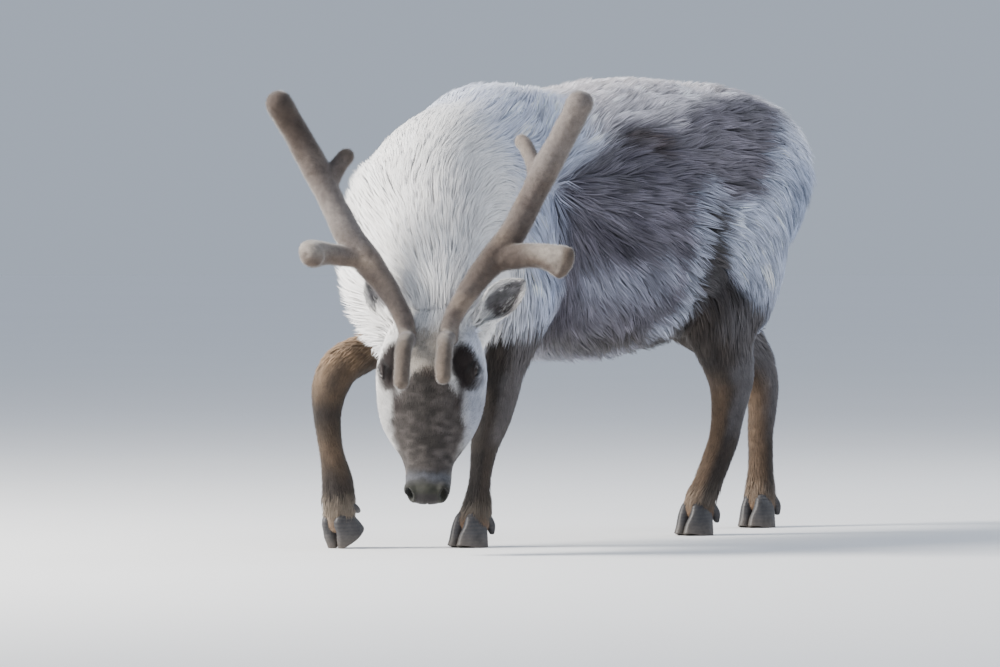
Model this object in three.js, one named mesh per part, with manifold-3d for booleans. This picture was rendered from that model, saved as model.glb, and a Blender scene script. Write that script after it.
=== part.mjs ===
// A reindeer at life size in its early-summer coat, walking with its head lowered, one forefoot set
// down on its toe. Antlers in velvet, a thick throat mane, broad cloven hooves with dewclaws.
// Millimetres. X is the animal's left, -Y is forward, +Z is up, and it stands on Z = 0.
import * as THREE from "three";
import { mergeVertices } from "three/addons/utils/BufferGeometryUtils.js";
import Module from "manifold-3d";

const wasm = await Module();
wasm.setup();

// Driving dimensions
const WITHERS_HEIGHT = 880;
const GAP = 0.3; // left between two pieces that touch
const FLOOR_FLAT = 1.2; // how far each sole is flattened
const EYE_RADIUS = 17;
const EYE_LEVEL = 346; // height of the eyes with the head lowered
const HEAD_TURN = 33; // degrees to the animal's left
const HEAD_PITCH = 78; // degrees the nose points down
const BEAM_RADIUS = 27; // antler beam, in velvet
const TRUNK_COAT = 40; // depth of the coat on the trunk
const NECK_COAT = 56; // and of the mane round the neck
const THIGH_COAT = 26;
const HOOF_HEIGHT = 46;
const HOOF_REACH = 35; // half the length of a sole
const HOOF_HALF_WIDTH = 18; // one of the two claws
const TOE_DROP = 54; // how far the lifted forefoot's pastern is over its toe

const LEFT = new THREE.Vector3(1, 0, 0);
const DOWN = new THREE.Vector3(0, 0, -1);
const FACE = new THREE.Vector3(0, 0, 1);

// Colours of the coat, velvet and horn
const FINISHES = {
  white_coat: { color: 0xdcd8d2, roughness: 0.95, metalness: 0 },
  grey_coat: { color: 0x8c8178, roughness: 0.95, metalness: 0 },
  face_coat: { color: 0xa89c90, roughness: 0.92, metalness: 0 },
  brown_leg: { color: 0x6d5440, roughness: 0.92, metalness: 0 },
  velvet: { color: 0x8a7460, roughness: 0.95, metalness: 0 },
  hoof_horn: { color: 0x2c2b29, roughness: 0.5, metalness: 0 },
  eye: { color: 0x120c08, roughness: 0.08, metalness: 0 },
};

const reindeer = new THREE.Group();
reindeer.name = "reindeer";

// A value between stations, on a smooth curve through them.
function smoothBetween(a, b, c, d, t) {
  const t2 = t * t;
  const t3 = t2 * t;
  return 0.5 * (2 * b + (c - a) * t + (2 * a - 5 * b + 4 * c - d) * t2 + (3 * b - a - 3 * c + d) * t3);
}

// The station at a place along the list, which may lie between two of them.
function stationAt(stations, t) {
  const last = stations.length - 1;
  const held = Math.min(Math.max(t, 0), last);
  const i = Math.min(Math.floor(held), last - 1);
  const near = [i - 1, i, i + 1, i + 2].map((k) => stations[Math.min(Math.max(k, 0), last)]);
  return near[1].map((_, j) => smoothBetween(...near.map((station) => station[j]), held - i));
}

function placeAt(stations, t) {
  const [x, y, z] = stationAt(stations, t);
  return new THREE.Vector3(x, y, z);
}

// A point on a tube's surface, `depth` out from it. Angles start on `side` and turn towards "above",
// which is side crossed with the way the tube runs.
function skinPoint(stations, t, angle, { side = LEFT, square = 1, depth = 0 } = {}) {
  const [x, y, z, half, above, below] = stationAt(stations, t);
  const way = placeAt(stations, t + 0.5).sub(placeAt(stations, t - 0.5)).normalize();
  const across = side.clone().addScaledVector(way, -side.dot(way)).normalize();
  const up = across.clone().cross(way);
  const [c, s] = [Math.cos(angle), Math.sin(angle)];
  return new THREE.Vector3(x, y, z)
    .addScaledVector(across, (half + depth) * Math.sign(c) * Math.abs(c) ** square)
    .addScaledVector(up, ((s > 0 ? above : below) + depth) * Math.sign(s) * Math.abs(s) ** square);
}

// A closed tube through stations of [x, y, z, half-width, half-depth above, half-depth below].
// `grow` makes it that much larger all round, or with a function, by what that gives at each station.
function tubeGeometry(stations, { side = LEFT, sides = 12, steps = 1, square = 1, grow = 0 } = {}) {
  const last = (stations.length - 1) * steps;
  const growth = typeof grow === "function" ? grow : () => grow;
  const positions = [];
  for (let i = 0; i <= last; i++) {
    const t = i / steps;
    const depth = growth(t);
    const way = placeAt(stations, t + 0.5).sub(placeAt(stations, t - 0.5)).normalize();
    const shift = i === 0 ? -depth : i === last ? depth : 0;
    for (let k = 0; k < sides; k++) {
      const point = skinPoint(stations, t, (2 * Math.PI * (k + 0.5)) / sides, { side, square, depth });
      positions.push(...point.addScaledVector(way, shift).toArray());
    }
  }
  const index = [];
  for (let i = 0; i < last; i++) {
    for (let k = 0; k < sides; k++) {
      const a = i * sides + k;
      const b = i * sides + ((k + 1) % sides);
      index.push(a, b, a + sides, b, b + sides, a + sides);
    }
  }
  for (let k = 1; k < sides - 1; k++) {
    index.push(0, k + 1, k, last * sides, last * sides + k, last * sides + k + 1);
  }
  const geometry = new THREE.BufferGeometry();
  geometry.setAttribute("position", new THREE.Float32BufferAttribute(positions, 3));
  geometry.setIndex(index);
  return geometry;
}

function geometryOf(solid) {
  const { vertProperties, triVerts } = solid.getMesh();
  const geometry = new THREE.BufferGeometry();
  geometry.setAttribute("position", new THREE.BufferAttribute(new Float32Array(vertProperties), 3));
  geometry.setIndex(new THREE.BufferAttribute(new Uint32Array(triVerts), 1));
  return geometry;
}

// A geometry as a solid, whichever way its faces were wound.
function solidOf(geometry, matrix) {
  const bare = geometry.clone();
  bare.deleteAttribute("normal");
  bare.deleteAttribute("uv");
  if (matrix) bare.applyMatrix4(matrix);
  const merged = mergeVertices(bare, 1e-3);
  const triVerts = new Uint32Array(merged.index.array);
  const vertProperties = new Float32Array(merged.attributes.position.array);
  const build = () => new wasm.Manifold(new wasm.Mesh({ numProp: 3, vertProperties, triVerts }));
  const solid = build();
  if (solid.volume() > 0) return solid;
  for (let i = 0; i < triVerts.length; i += 3) {
    [triVerts[i + 1], triVerts[i + 2]] = [triVerts[i + 2], triVerts[i + 1]];
  }
  return build();
}

const tube = (stations, options, matrix) => solidOf(tubeGeometry(stations, options), matrix);
const fuse = (...solids) => wasm.Manifold.union(solids.flat());
const largest = (solid) => solid.decompose().reduce((a, b) => (a.volume() > b.volume() ? a : b));

// A ball stretched to three half-axes, turned about X by `tilt` and set at a point.
function ball([x, y, z], [rx, ry, rz], { matrix, rings = 5, tilt = 0 } = {}) {
  const sphere = new THREE.SphereGeometry(1, Math.round(rings * 1.5), rings);
  sphere.scale(rx, ry, rz).rotateX(tilt).translate(x, y, z);
  return solidOf(sphere, matrix);
}

// A box that starts at a point and reaches along a way, with `back` more behind the point.
function beyond(point, way, reach, wide, back = 0) {
  const forward = way.clone().normalize();
  const turn = new THREE.Quaternion().setFromUnitVectors(new THREE.Vector3(0, 0, 1), forward);
  const box = new THREE.BoxGeometry(2 * wide, 2 * wide, reach + back);
  const centre = point.clone().addScaledVector(forward, (reach - back) / 2);
  return solidOf(box.applyQuaternion(turn).translate(centre.x, centre.y, centre.z));
}

// Parts a solid at a plane: first what lies past it, then the rest less the gap.
function partAt(whole, at, way, reach = 600, wide = 500) {
  const [point, heading] = [new THREE.Vector3(...at), new THREE.Vector3(...way)];
  const past = largest(whole.intersect(beyond(point, heading, reach, wide)));
  return [past, largest(whole.subtract(beyond(point, heading, reach, wide, GAP)))];
}

// A draw between two values, the same on each run.
let seed = 20;
function draw(low, high) {
  seed = (seed * 16807) % 2147483647;
  return low + ((high - low) * seed) / 2147483647;
}

// How far to go along a tube's surface, in stations and in angle, for a millimetre along `lie`.
function slopeAt(coat, t, angle, lie) {
  const here = skinPoint(coat.stations, t, angle, coat.shape);
  const along = skinPoint(coat.stations, t + 0.05, angle, coat.shape).sub(here).divideScalar(0.05);
  const round = skinPoint(coat.stations, t, angle + 0.05, coat.shape).sub(here).divideScalar(0.05);
  const [aa, ar, rr] = [along.dot(along), along.dot(round), round.dot(round)];
  const [a, r] = [lie.dot(along), lie.dot(round)];
  const spread = Math.max(aa * rr - ar * ar, 1);
  return [(a * rr - r * ar) / spread, (r * aa - a * ar) / spread];
}

// A flat, tapered lock. Its edges run in the core nearly to the end, its ridge rises out of it, and
// its tip stands free. Rows of [place, width, depth of the edges, depth of the ridge].
const LOCK_ROWS = [[0, 0.6, 0.9, 0.75], [0.4, 1, 0.62, 0.15], [0.76, 0.74, 0.52, 0], [1, 0, 0.2, 0.1]];
function lock(coat, t, angle, { length, width, lift }) {
  const [long, wide] = [length * draw(0.85, 1.15), width * draw(0.88, 1.12)];
  const [sway, high] = [draw(-0.14, 0.14), lift + draw(-2, 3)];
  let [u, a] = [t, angle];
  const at = (depth) => skinPoint(coat.stations, u, a, { ...coat.shape, depth });
  const rows = LOCK_ROWS.map(([place, broad, edge, ridge], i) => {
    const [foot, crest] = [at(-coat.depth * edge), at(high - coat.depth * ridge)];
    const out = at(20).sub(at(0)).normalize();
    const lie = coat.lie(crest, u);
    const across = out.cross(lie).normalize();
    lie.addScaledVector(across, sway).normalize();
    const [du, da] = slopeAt(coat, u, a, lie);
    const step = long * ((LOCK_ROWS[i + 1] ?? LOCK_ROWS[i])[0] - place);
    [u, a] = [Math.min(u + du * step, coat.stations.length - 1.8), a + da * step];
    const half = (wide * broad) / 2;
    return [half, -half].map((aside) => foot.clone().addScaledVector(across, aside)).concat(crest);
  });
  const positions = [...rows.slice(0, -1).flat(), rows.at(-1).at(-1)].flatMap((point) => point.toArray());
  const index = [0, 2, 1];
  for (let i = 0; i < 2; i++) {
    for (let k = 0; k < 3; k++) {
      const [p, q] = [3 * i + k, 3 * i + ((k + 1) % 3)];
      index.push(p, q, p + 3, q, q + 3, p + 3);
    }
  }
  for (let k = 0; k < 3; k++) index.push(6 + k, 6 + ((k + 1) % 3), 9);
  const geometry = new THREE.BufferGeometry();
  geometry.setAttribute("position", new THREE.Float32BufferAttribute(positions, 3));
  geometry.setIndex(index);
  return solidOf(geometry);
}

// Rows of locks round a tube, each row set half a lock over from the last.
function combed(coat, { from, to, rows, pitch, arc = [0, 2 * Math.PI], ...size }) {
  const locks = [];
  for (let i = 0; i < rows; i++) {
    const t = from + ((to - from) * i) / Math.max(rows - 1, 1);
    const [, , , half, above, below] = stationAt(coat.stations, t);
    const round = ((arc[1] - arc[0]) / 2) * (half + (above + below) / 2);
    const count = Math.max(Math.round(round / pitch), 2);
    for (let k = 0; k < count; k++) {
      const share = (k + 0.25 + 0.5 * (i % 2) + draw(-0.12, 0.12)) / count;
      const angle = arc[0] + (arc[1] - arc[0]) * share;
      locks.push(lock(coat, t + draw(-0.1, 0.1), angle, size));
    }
  }
  return locks;
}

const nodes = [];
const addNode = (name, solid, finish) => nodes.push({ name, solid: largest(solid.simplify(0.2)), finish });

// Trunk, brisket to rump. Stations of [x, y, level, half-width, rise, drop].
const TRUNK = [
  [0, -212, 560, 50, 50, 50],
  [0, -192, 575, 108, 140, 120],
  [0, -140, 592, 150, 225, 182],
  [0, -60, 600, 174, 276, 215],
  [0, 20, 592, 188, WITHERS_HEIGHT - 588, 228],
  [0, 100, 580, 200, 293, 222],
  [0, 190, 575, 211, 295, 222],
  [0, 290, 580, 216, 304, 226],
  [0, 400, 595, 215, 302, 226],
  [0, 500, 615, 208, 284, 218],
  [0, 580, 632, 200, 264, 204],
  [0, 660, 655, 192, 236, 188],
  [0, 740, 672, 176, 208, 164],
  [0, 805, 690, 147, 172, 150],
  [0, 852, 696, 118, 138, 120],
  [0, 884, 700, 80, 86, 74],
  [0, 898, 702, 30, 32, 28],
];
const trunkShape = { sides: 15, square: 0.94 };

// Neck, from inside the skull back into the shoulders, under its mane.
const NECK = [
  [212, -432, 396, 60, 52, 66],
  [196, -412, 414, 92, 80, 94],
  [168, -388, 440, 122, 108, 130],
  [132, -356, 472, 146, 130, 160],
  [88, -314, 522, 158, 146, 184],
  [48, -252, 584, 162, 172, 200],
  [16, -165, 636, 168, 206, 210],
  [0, -70, 644, 164, 225, 208],
  [0, 0, 630, 120, 190, 180],
];
const neckShape = { sides: 13 };

// Under the long coat each has a core, sunk by half the coat's depth.
const neckCore = (t) => -NECK_COAT * 0.5 * Math.min(1, 0.2 + t * 0.3);
const trunkCore = () => -TRUNK_COAT * 0.5;
const neck = (grow = 0) => tube(NECK, { ...neckShape, grow });
const trunk = (grow = 0) => tube(TRUNK, { ...trunkShape, grow });

// Legs, from inside the body to the pastern. Stations of [x, y, z, half-width, behind, before].
const LEGS = {
  foreleg_left: [
    [118, -20, 590, 50, 90, 85],
    [126, -45, 500, 60, 92, 86],
    [122, -72, 420, 54, 70, 66],
    [115, -94, 350, 43, 50, 48],
    [109, -106, 290, 37, 41, 40],
    [104, -124, 240, 36, 39, 39],
    [99, -138, 200, 30, 34, 32],
    [94, -143, 155, 25, 27, 26],
    [89, -144, 118, 24, 27, 25],
    [85, -145, 86, 28, 32, 28],
    [82, -149, 56, 32, 36, 32],
    [79, -158, 30, 34, 34, 34],
  ],
  foreleg_right: [
    [-116, -10, 570, 50, 95, 90],
    [-124, -70, 466, 60, 80, 80],
    [-123, -150, 398, 50, 54, 54],
    [-117, -240, 366, 41, 43, 42],
    [-110, -313, 343, 38, 40, 40],
    [-104, -355, 304, 36, 40, 39],
    [-100, -367, 262, 30, 33, 32],
    [-96, -367, 215, 26, 29, 28],
    [-91, -362, 172, 26, 30, 28],
    [-87, -356, 136, 31, 37, 31],
    [-86, -352, 106, 34, 38, 33],
    [-85, -352, 78, 34, 35, 34],
  ],
  hindleg_left: [
    [84, 690, 710, 60, 110, 120],
    [110, 660, 620, 76, 112, 142],
    [123, 614, 515, 68, 118, 134],
    [131, 562, 432, 57, 114, 116],
    [126, 572, 370, 47, 62, 74],
    [119, 592, 332, 43, 56, 64],
    [112, 606, 298, 39, 61, 54],
    [105, 612, 262, 35, 45, 47],
    [98, 612, 224, 32, 38, 39],
    [92, 609, 186, 31, 35, 35],
    [86, 592, 144, 30, 34, 34],
    [81, 572, 104, 30, 34, 32],
    [78, 552, 66, 32, 34, 32],
    [75, 545, 38, 33, 33, 33],
  ],
  hindleg_right: [
    [-80, 700, 720, 60, 130, 120],
    [-116, 716, 610, 80, 140, 150],
    [-128, 750, 515, 72, 120, 128],
    [-124, 800, 440, 58, 88, 92],
    [-112, 888, 386, 48, 60, 66],
    [-98, 942, 334, 41, 50, 50],
    [-88, 962, 288, 36, 43, 42],
    [-80, 956, 240, 31, 36, 35],
    [-74, 942, 190, 28, 32, 31],
    [-69, 936, 142, 27, 31, 29],
    [-65, 930, 100, 29, 33, 30],
    [-62, 924, 64, 32, 35, 32],
    [-59, 918, 36, 33, 33, 33],
  ],
};
const legShape = { sides: 9 };
const legCore = (t) => -THIGH_COAT * 0.5 * Math.min(1, Math.max(0, (3.6 - t) / 1.4));

// Head, in a frame of its own: the origin midway between the eyes, -Y to the nose, +Z out of the face.
const headFrame = new THREE.Matrix4()
  .makeTranslation(229, -462, EYE_LEVEL)
  .multiply(new THREE.Matrix4().makeRotationZ(THREE.MathUtils.degToRad(HEAD_TURN)))
  .multiply(new THREE.Matrix4().makeRotationX(THREE.MathUtils.degToRad(HEAD_PITCH)));
const SKULL = [
  [0, -248, -22, 18, 14, 12],
  [0, -243, -20, 34, 25, 22],
  [0, -228, -18, 42, 32, 28],
  [0, -206, -18, 44, 35, 32],
  [0, -182, -20, 45, 38, 36],
  [0, -160, -23, 54, 42, 42],
  [0, -134, -26, 73, 48, 50],
  [0, -104, -28, 89, 55, 60],
  [0, -70, -30, 100, 64, 72],
  [0, -34, -32, 104, 76, 84],
  [0, 4, -34, 106, 84, 93],
  [0, 44, -36, 99, 84, 94],
  [0, 82, -37, 84, 74, 84],
  [0, 112, -38, 62, 54, 62],
];
const skullShape = { sides: 20, square: 0.96 };
const skull = (grow = 0) => tube(SKULL, { ...skullShape, grow }, headFrame);

// Tail, hanging close to the rump.
const TAIL = [
  [0, 852, 782, 24, 26, 26],
  [0, 884, 760, 31, 28, 26],
  [0, 903, 722, 36, 26, 26],
  [0, 908, 682, 34, 22, 24],
  [0, 904, 644, 22, 14, 16],
  [0, 899, 616, 5, 4, 4],
];

// Eyes look out to the side and forward, between an upper and a lower lid.
const EYE_PLACE = [78, -2, 9];
function eyeball(side, grow = 0) {
  const [x, y, z] = EYE_PLACE;
  const radius = EYE_RADIUS + grow;
  return ball([side * x, y, z], [radius, radius, radius], { matrix: headFrame, rings: 6 });
}

function lidOpening(side) {
  const [x, y, z] = EYE_PLACE;
  return ball([side * (x + 11), y - 2, z + 13], [14, 20, 12], { matrix: headFrame });
}

// Chin, pad of the nose, brow bone, the rim of each nostril, the lids and the antlers' roots.
function faceForms(grow = 0) {
  const form = (place, axes) => ball(place, axes.map((axis) => axis + grow), { matrix: headFrame });
  const forms = [form([0, -214, -44], [27, 32, 15]), form([0, -226, -2], [34, 20, 19])];
  const [x, y, z] = EYE_PLACE;
  for (const side of [1, -1]) {
    forms.push(form([side * 62, 30, 15], [30, 42, 25]));
    forms.push(form([side * 27, -224, -4], [16, 17, 17]));
    forms.push(form([side * (x - 1), y, z - 1], [23, 29, 22]));
    const root = [[side * 36, 20, 20, 22, 22, 22], [side * 37, 46, 34, 21, 21, 21]];
    forms.push(tube(root, { sides: 8, grow }, headFrame));
  }
  return forms;
}

// All that isn't legs, ears or antlers, a little larger, to keep those clear of it.
const around = fuse(trunk(GAP), neck(GAP), skull(GAP), ...faceForms(GAP));

// The mouth is a line cut round the muzzle, shallow at the front and shut behind.
function mouthLine() {
  const disc = (y, wide, long, thick, sides) => {
    const rim = new THREE.CylinderGeometry(1, 1, thick, sides).rotateX(Math.PI / 2).scale(wide, long, 1);
    return solidOf(rim.translate(0, y, -35), headFrame);
  };
  return disc(-196, 70, 62, 3.5, 10).subtract(disc(-184, 36, 47, 12, 10));
}

function nostril(side) {
  return ball([side * 33, -234, 1], [8, 12, 12], { matrix: headFrame, tilt: -0.5 });
}

// Ears: a long cup with its open side to the front. `at` is the root, `tip` the point.
function ear({ root, tip, facing }, grow = 0) {
  const [base, end] = [new THREE.Vector3(...root), new THREE.Vector3(...tip)];
  const way = end.clone().sub(base);
  const front = new THREE.Vector3(...facing);
  const open = front.addScaledVector(way, -front.dot(way) / way.lengthSq()).normalize();
  const across = way.clone().cross(open).normalize();
  const along = [[0, 18, 15], [0.2, 26, 16], [0.45, 32, 15], [0.7, 28, 12], [0.88, 17, 8], [1, 4, 3]];
  const stations = (shift, scale) => along.map(([t, half, deep]) => {
    const curl = 10 * Math.sin(Math.PI * t);
    const point = base.clone().addScaledVector(way, t).addScaledVector(open, shift - curl);
    return [...point.toArray(), half * scale, deep * scale, deep * scale];
  });
  const shell = tube(stations(0, 1), { side: across, sides: 9, grow }, headFrame);
  if (grow > 0) return shell;
  const hollow = stations(9, 0.82).slice(1, -1);
  return shell.subtract(tube(hollow, { side: across, sides: 8 }, headFrame));
}

// Antlers, in the head's frame and on the animal's left. Stations of [x, y, z, three radii].
const round = (x, y, z, radius, flat = radius) => [x, y, z, radius, flat, flat];
const rounded = (stations) => {
  // closes a blunt velvet end with two shrinking rings
  const [before, end] = stations.slice(-2);
  const tip = new THREE.Vector3(...end.slice(0, 3));
  const way = tip.clone().sub(new THREE.Vector3(...before.slice(0, 3))).normalize();
  const cap = [[0.5, 0.84], [0.85, 0.5]].map(([ahead, shrink]) => {
    const point = tip.clone().addScaledVector(way, ahead * end[3]);
    return [...point.toArray(), ...end.slice(3).map((radius) => radius * shrink)];
  });
  return [...stations, ...cap];
};
const mirrored = (stations, side) => stations.map(([x, ...rest]) => [side * x, ...rest]);
const BEAM = [
  round(37, 56, 38, 19),
  round(42, 78, 45, 19.5),
  round(54, 104, 48, 20.5),
  round(84, 154, 48, 24),
  round(123, 205, 46, 29),
  round(147, 238, 45, 28),
  round(165, 269, 46, BEAM_RADIUS),
  round(191, 322, 50, BEAM_RADIUS - 1),
  round(214, 368, 58, BEAM_RADIUS + 1),
  round(238, 410, 72, BEAM_RADIUS),
  round(263, 452, 92, BEAM_RADIUS - 1),
  round(281, 482, 110, BEAM_RADIUS),
];
const browTine = (reach) => [
  round(37, 50, 50, 17),
  round(37, 40, 78, 16.5),
  round(38, 14, 105, 16.5),
  round(39, -reach, 118, 16),
];
// The reach of the brow tine, then stations of [x, y, z, half-thickness, half-height].
const TINES = {
  left: {
    brow: 34,
    bez: [
      [118, 200, 46, 24, 28],
      [158, 203, 62, 23, 26],
      [198, 202, 82, 22, 25],
      [236, 192, 104, 19, 29],
      [258, 182, 114, 18, 34],
    ],
    back: [[204, 350, 54, 24], [190, 388, 44, 17], [174, 418, 34, 16], [167, 428, 30, 16]],
  },
  right: {
    brow: 44,
    bez: [
      [118, 200, 46, 24],
      [152, 204, 60, 22],
      [186, 204, 84, 22],
      [206, 199, 110, 24, 27],
      [212, 195, 126, 24, 29],
    ],
    back: [[200, 334, 52, 25], [184, 366, 46, 20], [170, 388, 40, 18], [163, 398, 36, 18]],
  },
};
const radii = (stations) => stations.map(([x, y, z, thick, high = thick]) => [x, y, z, thick, high, high]);

function antler(side, tines) {
  const shape = { sides: 8 };
  const horn = (stations, options) => {
    return tube(mirrored(rounded(stations), side), { ...shape, ...options }, headFrame);
  };
  const bez = horn(radii(tines.bez), { side: FACE });
  return fuse(horn(BEAM), horn(browTine(tines.brow)), bez, horn(radii(tines.back)));
}

// A hoof of two claws and two dewclaws, set out from the pastern's end: -Y to the toe, +Z up.
function footFrame([x, y, z], turn, tilt) {
  return new THREE.Matrix4()
    .makeTranslation(x, y, z)
    .multiply(new THREE.Matrix4().makeRotationZ(THREE.MathUtils.degToRad(turn)))
    .multiply(new THREE.Matrix4().makeRotationX(THREE.MathUtils.degToRad(tilt)));
}

// One claw, from the coronet down to a flat sole. Its toe curves in toward the other claw's.
function claw(side, sole, matrix) {
  const rows = [
    [14, 2, 10, 0.72, 0.66],
    [16, -2, -8, 0.86, 0.78],
    [17.5, -6, -sole * 0.6, 0.96, 0.92],
    [19, -10, -sole, 1, 1],
  ];
  const stations = rows.map(([x, y, z, half, length]) => {
    const [behind, before] = [HOOF_REACH * length * 0.9, HOOF_REACH * length * 1.15];
    return [side * x, y, z, HOOF_HALF_WIDTH * half, behind, before];
  });
  return tube(stations, { sides: 9, square: 0.86 }, matrix);
}

function dewclaw(side, matrix) {
  return tube([
    [side * 15, 22, 16, 10, 9, 9],
    [side * 19, 32, -2, 11, 9, 9],
    [side * 20, 36, -20, 5, 4, 4],
  ], { sides: 5 }, matrix);
}

const FEET = {
  foreleg_left: { at: [78, -154, HOOF_HEIGHT], turn: -4, tilt: 0, sole: HOOF_HEIGHT + 2 },
  foreleg_right: { at: [-84, -353, TOE_DROP], turn: 4, tilt: 52, sole: 37 },
  hindleg_left: { at: [75, 546, HOOF_HEIGHT], turn: -3, tilt: 0, sole: HOOF_HEIGHT + 2 },
  hindleg_right: { at: [-59, 918, HOOF_HEIGHT], turn: 4, tilt: 0, sole: HOOF_HEIGHT + 2 },
};

// Where each leg is parted: at the belly, below the knee or hock, and over the fetlock.
const LEG_CUTS = {
  foreleg_left: [[116, -88, 372], [104, -126, 232], [86, -145, 96]],
  foreleg_right: [[-123, -160, 402], [-104, -360, 300], [-86, -354, 118]],
  hindleg_left: [[126, 590, 466], [102, 613, 246], [80, 562, 88]],
  hindleg_right: [[-124, 790, 464], [-86, 960, 264], [-64, 928, 88]],
};
// and the way each of those cuts faces.
const CUT_WAYS = {
  foreleg_left: [[-0.05, -0.25, -1], [-0.1, -0.25, -1], [-0.1, -0.05, -1]],
  foreleg_right: [[0.05, -1, -0.35], [0.1, -0.25, -1], [0.1, 0, -1]],
  hindleg_left: [[-0.1, 0.1, -1], [-0.15, 0, -1], [-0.1, -0.5, -1]],
  hindleg_right: [[0.15, 0.7, -0.7], [0.15, -0.1, -1], [0.1, -0.2, -1]],
};

const floor = beyond(new THREE.Vector3(0, 300, FLOOR_FLAT), DOWN, 200, 1500);
const uppers = [];
const clearances = []; // the coat is kept out of these
for (const [name, stations] of Object.entries(LEGS)) {
  const { at, turn, tilt, sole } = FEET[name];
  const frame = footFrame(at, turn, tilt);
  const [belly, knee, fetlock] = LEG_CUTS[name];
  const [w1, w2, w3] = CUT_WAYS[name];
  const [rest, upper] = partAt(tube(stations, { ...legShape, grow: legCore }), belly, w1, 900, 260);
  const [below, forearm] = partAt(rest, knee, w2, 400, 200);
  const [foot, cannon] = partAt(below, fetlock, w3, 200, 200);
  uppers.push(upper);
  const outside = beyond(new THREE.Vector3(...belly), new THREE.Vector3(...w1), 900, 260, GAP);
  clearances.push(tube(stations, { ...legShape, grow: GAP }).intersect(outside));
  const horn = [];
  for (const side of [1, -1]) {
    const which = side > 0 ? "left" : "right";
    horn.push([`${name}_claw_${which}`, claw(side, sole, frame).subtract(floor)]);
    horn.push([`${name}_dewclaw_${which}`, dewclaw(side, frame)]);
  }
  const heel = (grow) => ball([0, 6, 2], [33 + grow, 36 + grow, 30 + grow], { matrix: frame, rings: 4 });
  const pastern = fuse(foot, heel(0));
  const covered = fuse(tube(stations, { ...legShape, grow: GAP }), heel(GAP));
  for (const [part, solid] of horn) addNode(part, solid.subtract(covered), "hoof_horn");
  addNode(`${name}_upper`, forearm.subtract(around), "brown_leg");
  addNode(`${name}_cannon`, cannon, "brown_leg");
  addNode(`${name}_foot`, pastern.subtract(floor), "brown_leg");
}

// The lie of the coat: back along the trunk and ever more downward on the flanks, belly and rump.
function trunkLie({ y, z }) {
  const low = Math.min(Math.max((760 - z) / 420, 0), 1);
  const behind = Math.min(Math.max((y - 660) / 200, 0), 1);
  return new THREE.Vector3(0, 1 - 0.45 * low - 0.7 * behind, -0.1 - 0.8 * low - 0.7 * behind).normalize();
}

function neckLie(point, t) {
  const along = placeAt(NECK, t + 0.5).sub(placeAt(NECK, t - 0.5)).normalize();
  return along.addScaledVector(DOWN, 0.95).normalize();
}

const legLie = () => new THREE.Vector3(0, 0.25, -1).normalize();
const trunkRound = { square: trunkShape.square };
const trunkCoat = { stations: TRUNK, shape: trunkRound, lie: trunkLie, depth: TRUNK_COAT };
const neckCoat = { stations: NECK, shape: {}, lie: neckLie, depth: NECK_COAT };
const thighCoat = (stations) => ({ stations, shape: {}, lie: legLie, depth: THIGH_COAT });

const ON_THIGH = { pitch: 84, length: 160, width: 96, lift: 2 };
const locks = [
  combed(neckCoat, { from: 1.9, to: 5.6, rows: 4, pitch: 114, length: 246, width: 134, lift: 18 }),
  combed(trunkCoat, { from: 1.8, to: 4, rows: 2, pitch: 134, length: 252, width: 152, lift: 14 }),
  combed(trunkCoat, { from: 6.1, to: 12, rows: 4, pitch: 134, length: 266, width: 156, lift: 9 }),
  combed(thighCoat(LEGS.hindleg_left), { from: 1.7, to: 2.4, rows: 1, arc: [-0.9, 2.2], ...ON_THIGH }),
  combed(thighCoat(LEGS.hindleg_right), { from: 1.7, to: 2.4, rows: 1, arc: [0.95, 4.05], ...ON_THIGH }),
].flat();

const EARS = {
  left: { root: [74, 86, -34], tip: [172, 172, -10], facing: [0.25, -0.3, 1] },
  right: { root: [-74, 86, -34], tip: [-126, 176, -16], facing: [-0.5, -0.2, 1] },
};
clearances.push(ear(EARS.left, GAP), ear(EARS.right, GAP), tube(TAIL, { sides: 8, grow: GAP }));

const trunkInside = tube(TRUNK, { ...trunkShape, grow: trunkCore });
const neckInside = tube(NECK, { ...neckShape, grow: neckCore });
const coated = fuse(trunkInside, neckInside, uppers, locks).subtract(fuse(clearances));
const cuts = [mouthLine(), nostril(1), nostril(-1)];
for (const side of [1, -1]) cuts.push(eyeball(side, GAP), lidOpening(side));
const whole = fuse(coated, skull(), faceForms()).subtract(fuse(cuts));
const [headPiece, behindHead] = partAt(whole, [188, -404, 424], [0.45, -0.6, -0.66]);
const [neckPiece, carcass] = partAt(behindHead, [16, -190, 640], [0.12, -0.97, -0.2]);
const [hindquarters, foreTrunk] = partAt(carcass, [0, 440, 600], [0, 1, 0]);
const [barrel, shoulders] = partAt(foreTrunk, [0, 110, 600], [0, 1, 0]);
addNode("head", headPiece, "face_coat");
addNode("neck", neckPiece, "white_coat");
addNode("shoulders", shoulders, "white_coat");
addNode("barrel", barrel, "grey_coat");
addNode("hindquarters", hindquarters, "grey_coat");

addNode("tail", tube(TAIL, { sides: 8 }).subtract(around), "white_coat");
addNode("ear_left", ear(EARS.left).subtract(around), "face_coat");
addNode("ear_right", ear(EARS.right).subtract(around), "face_coat");
addNode("eye_left", eyeball(1), "eye");
addNode("eye_right", eyeball(-1), "eye");

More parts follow.
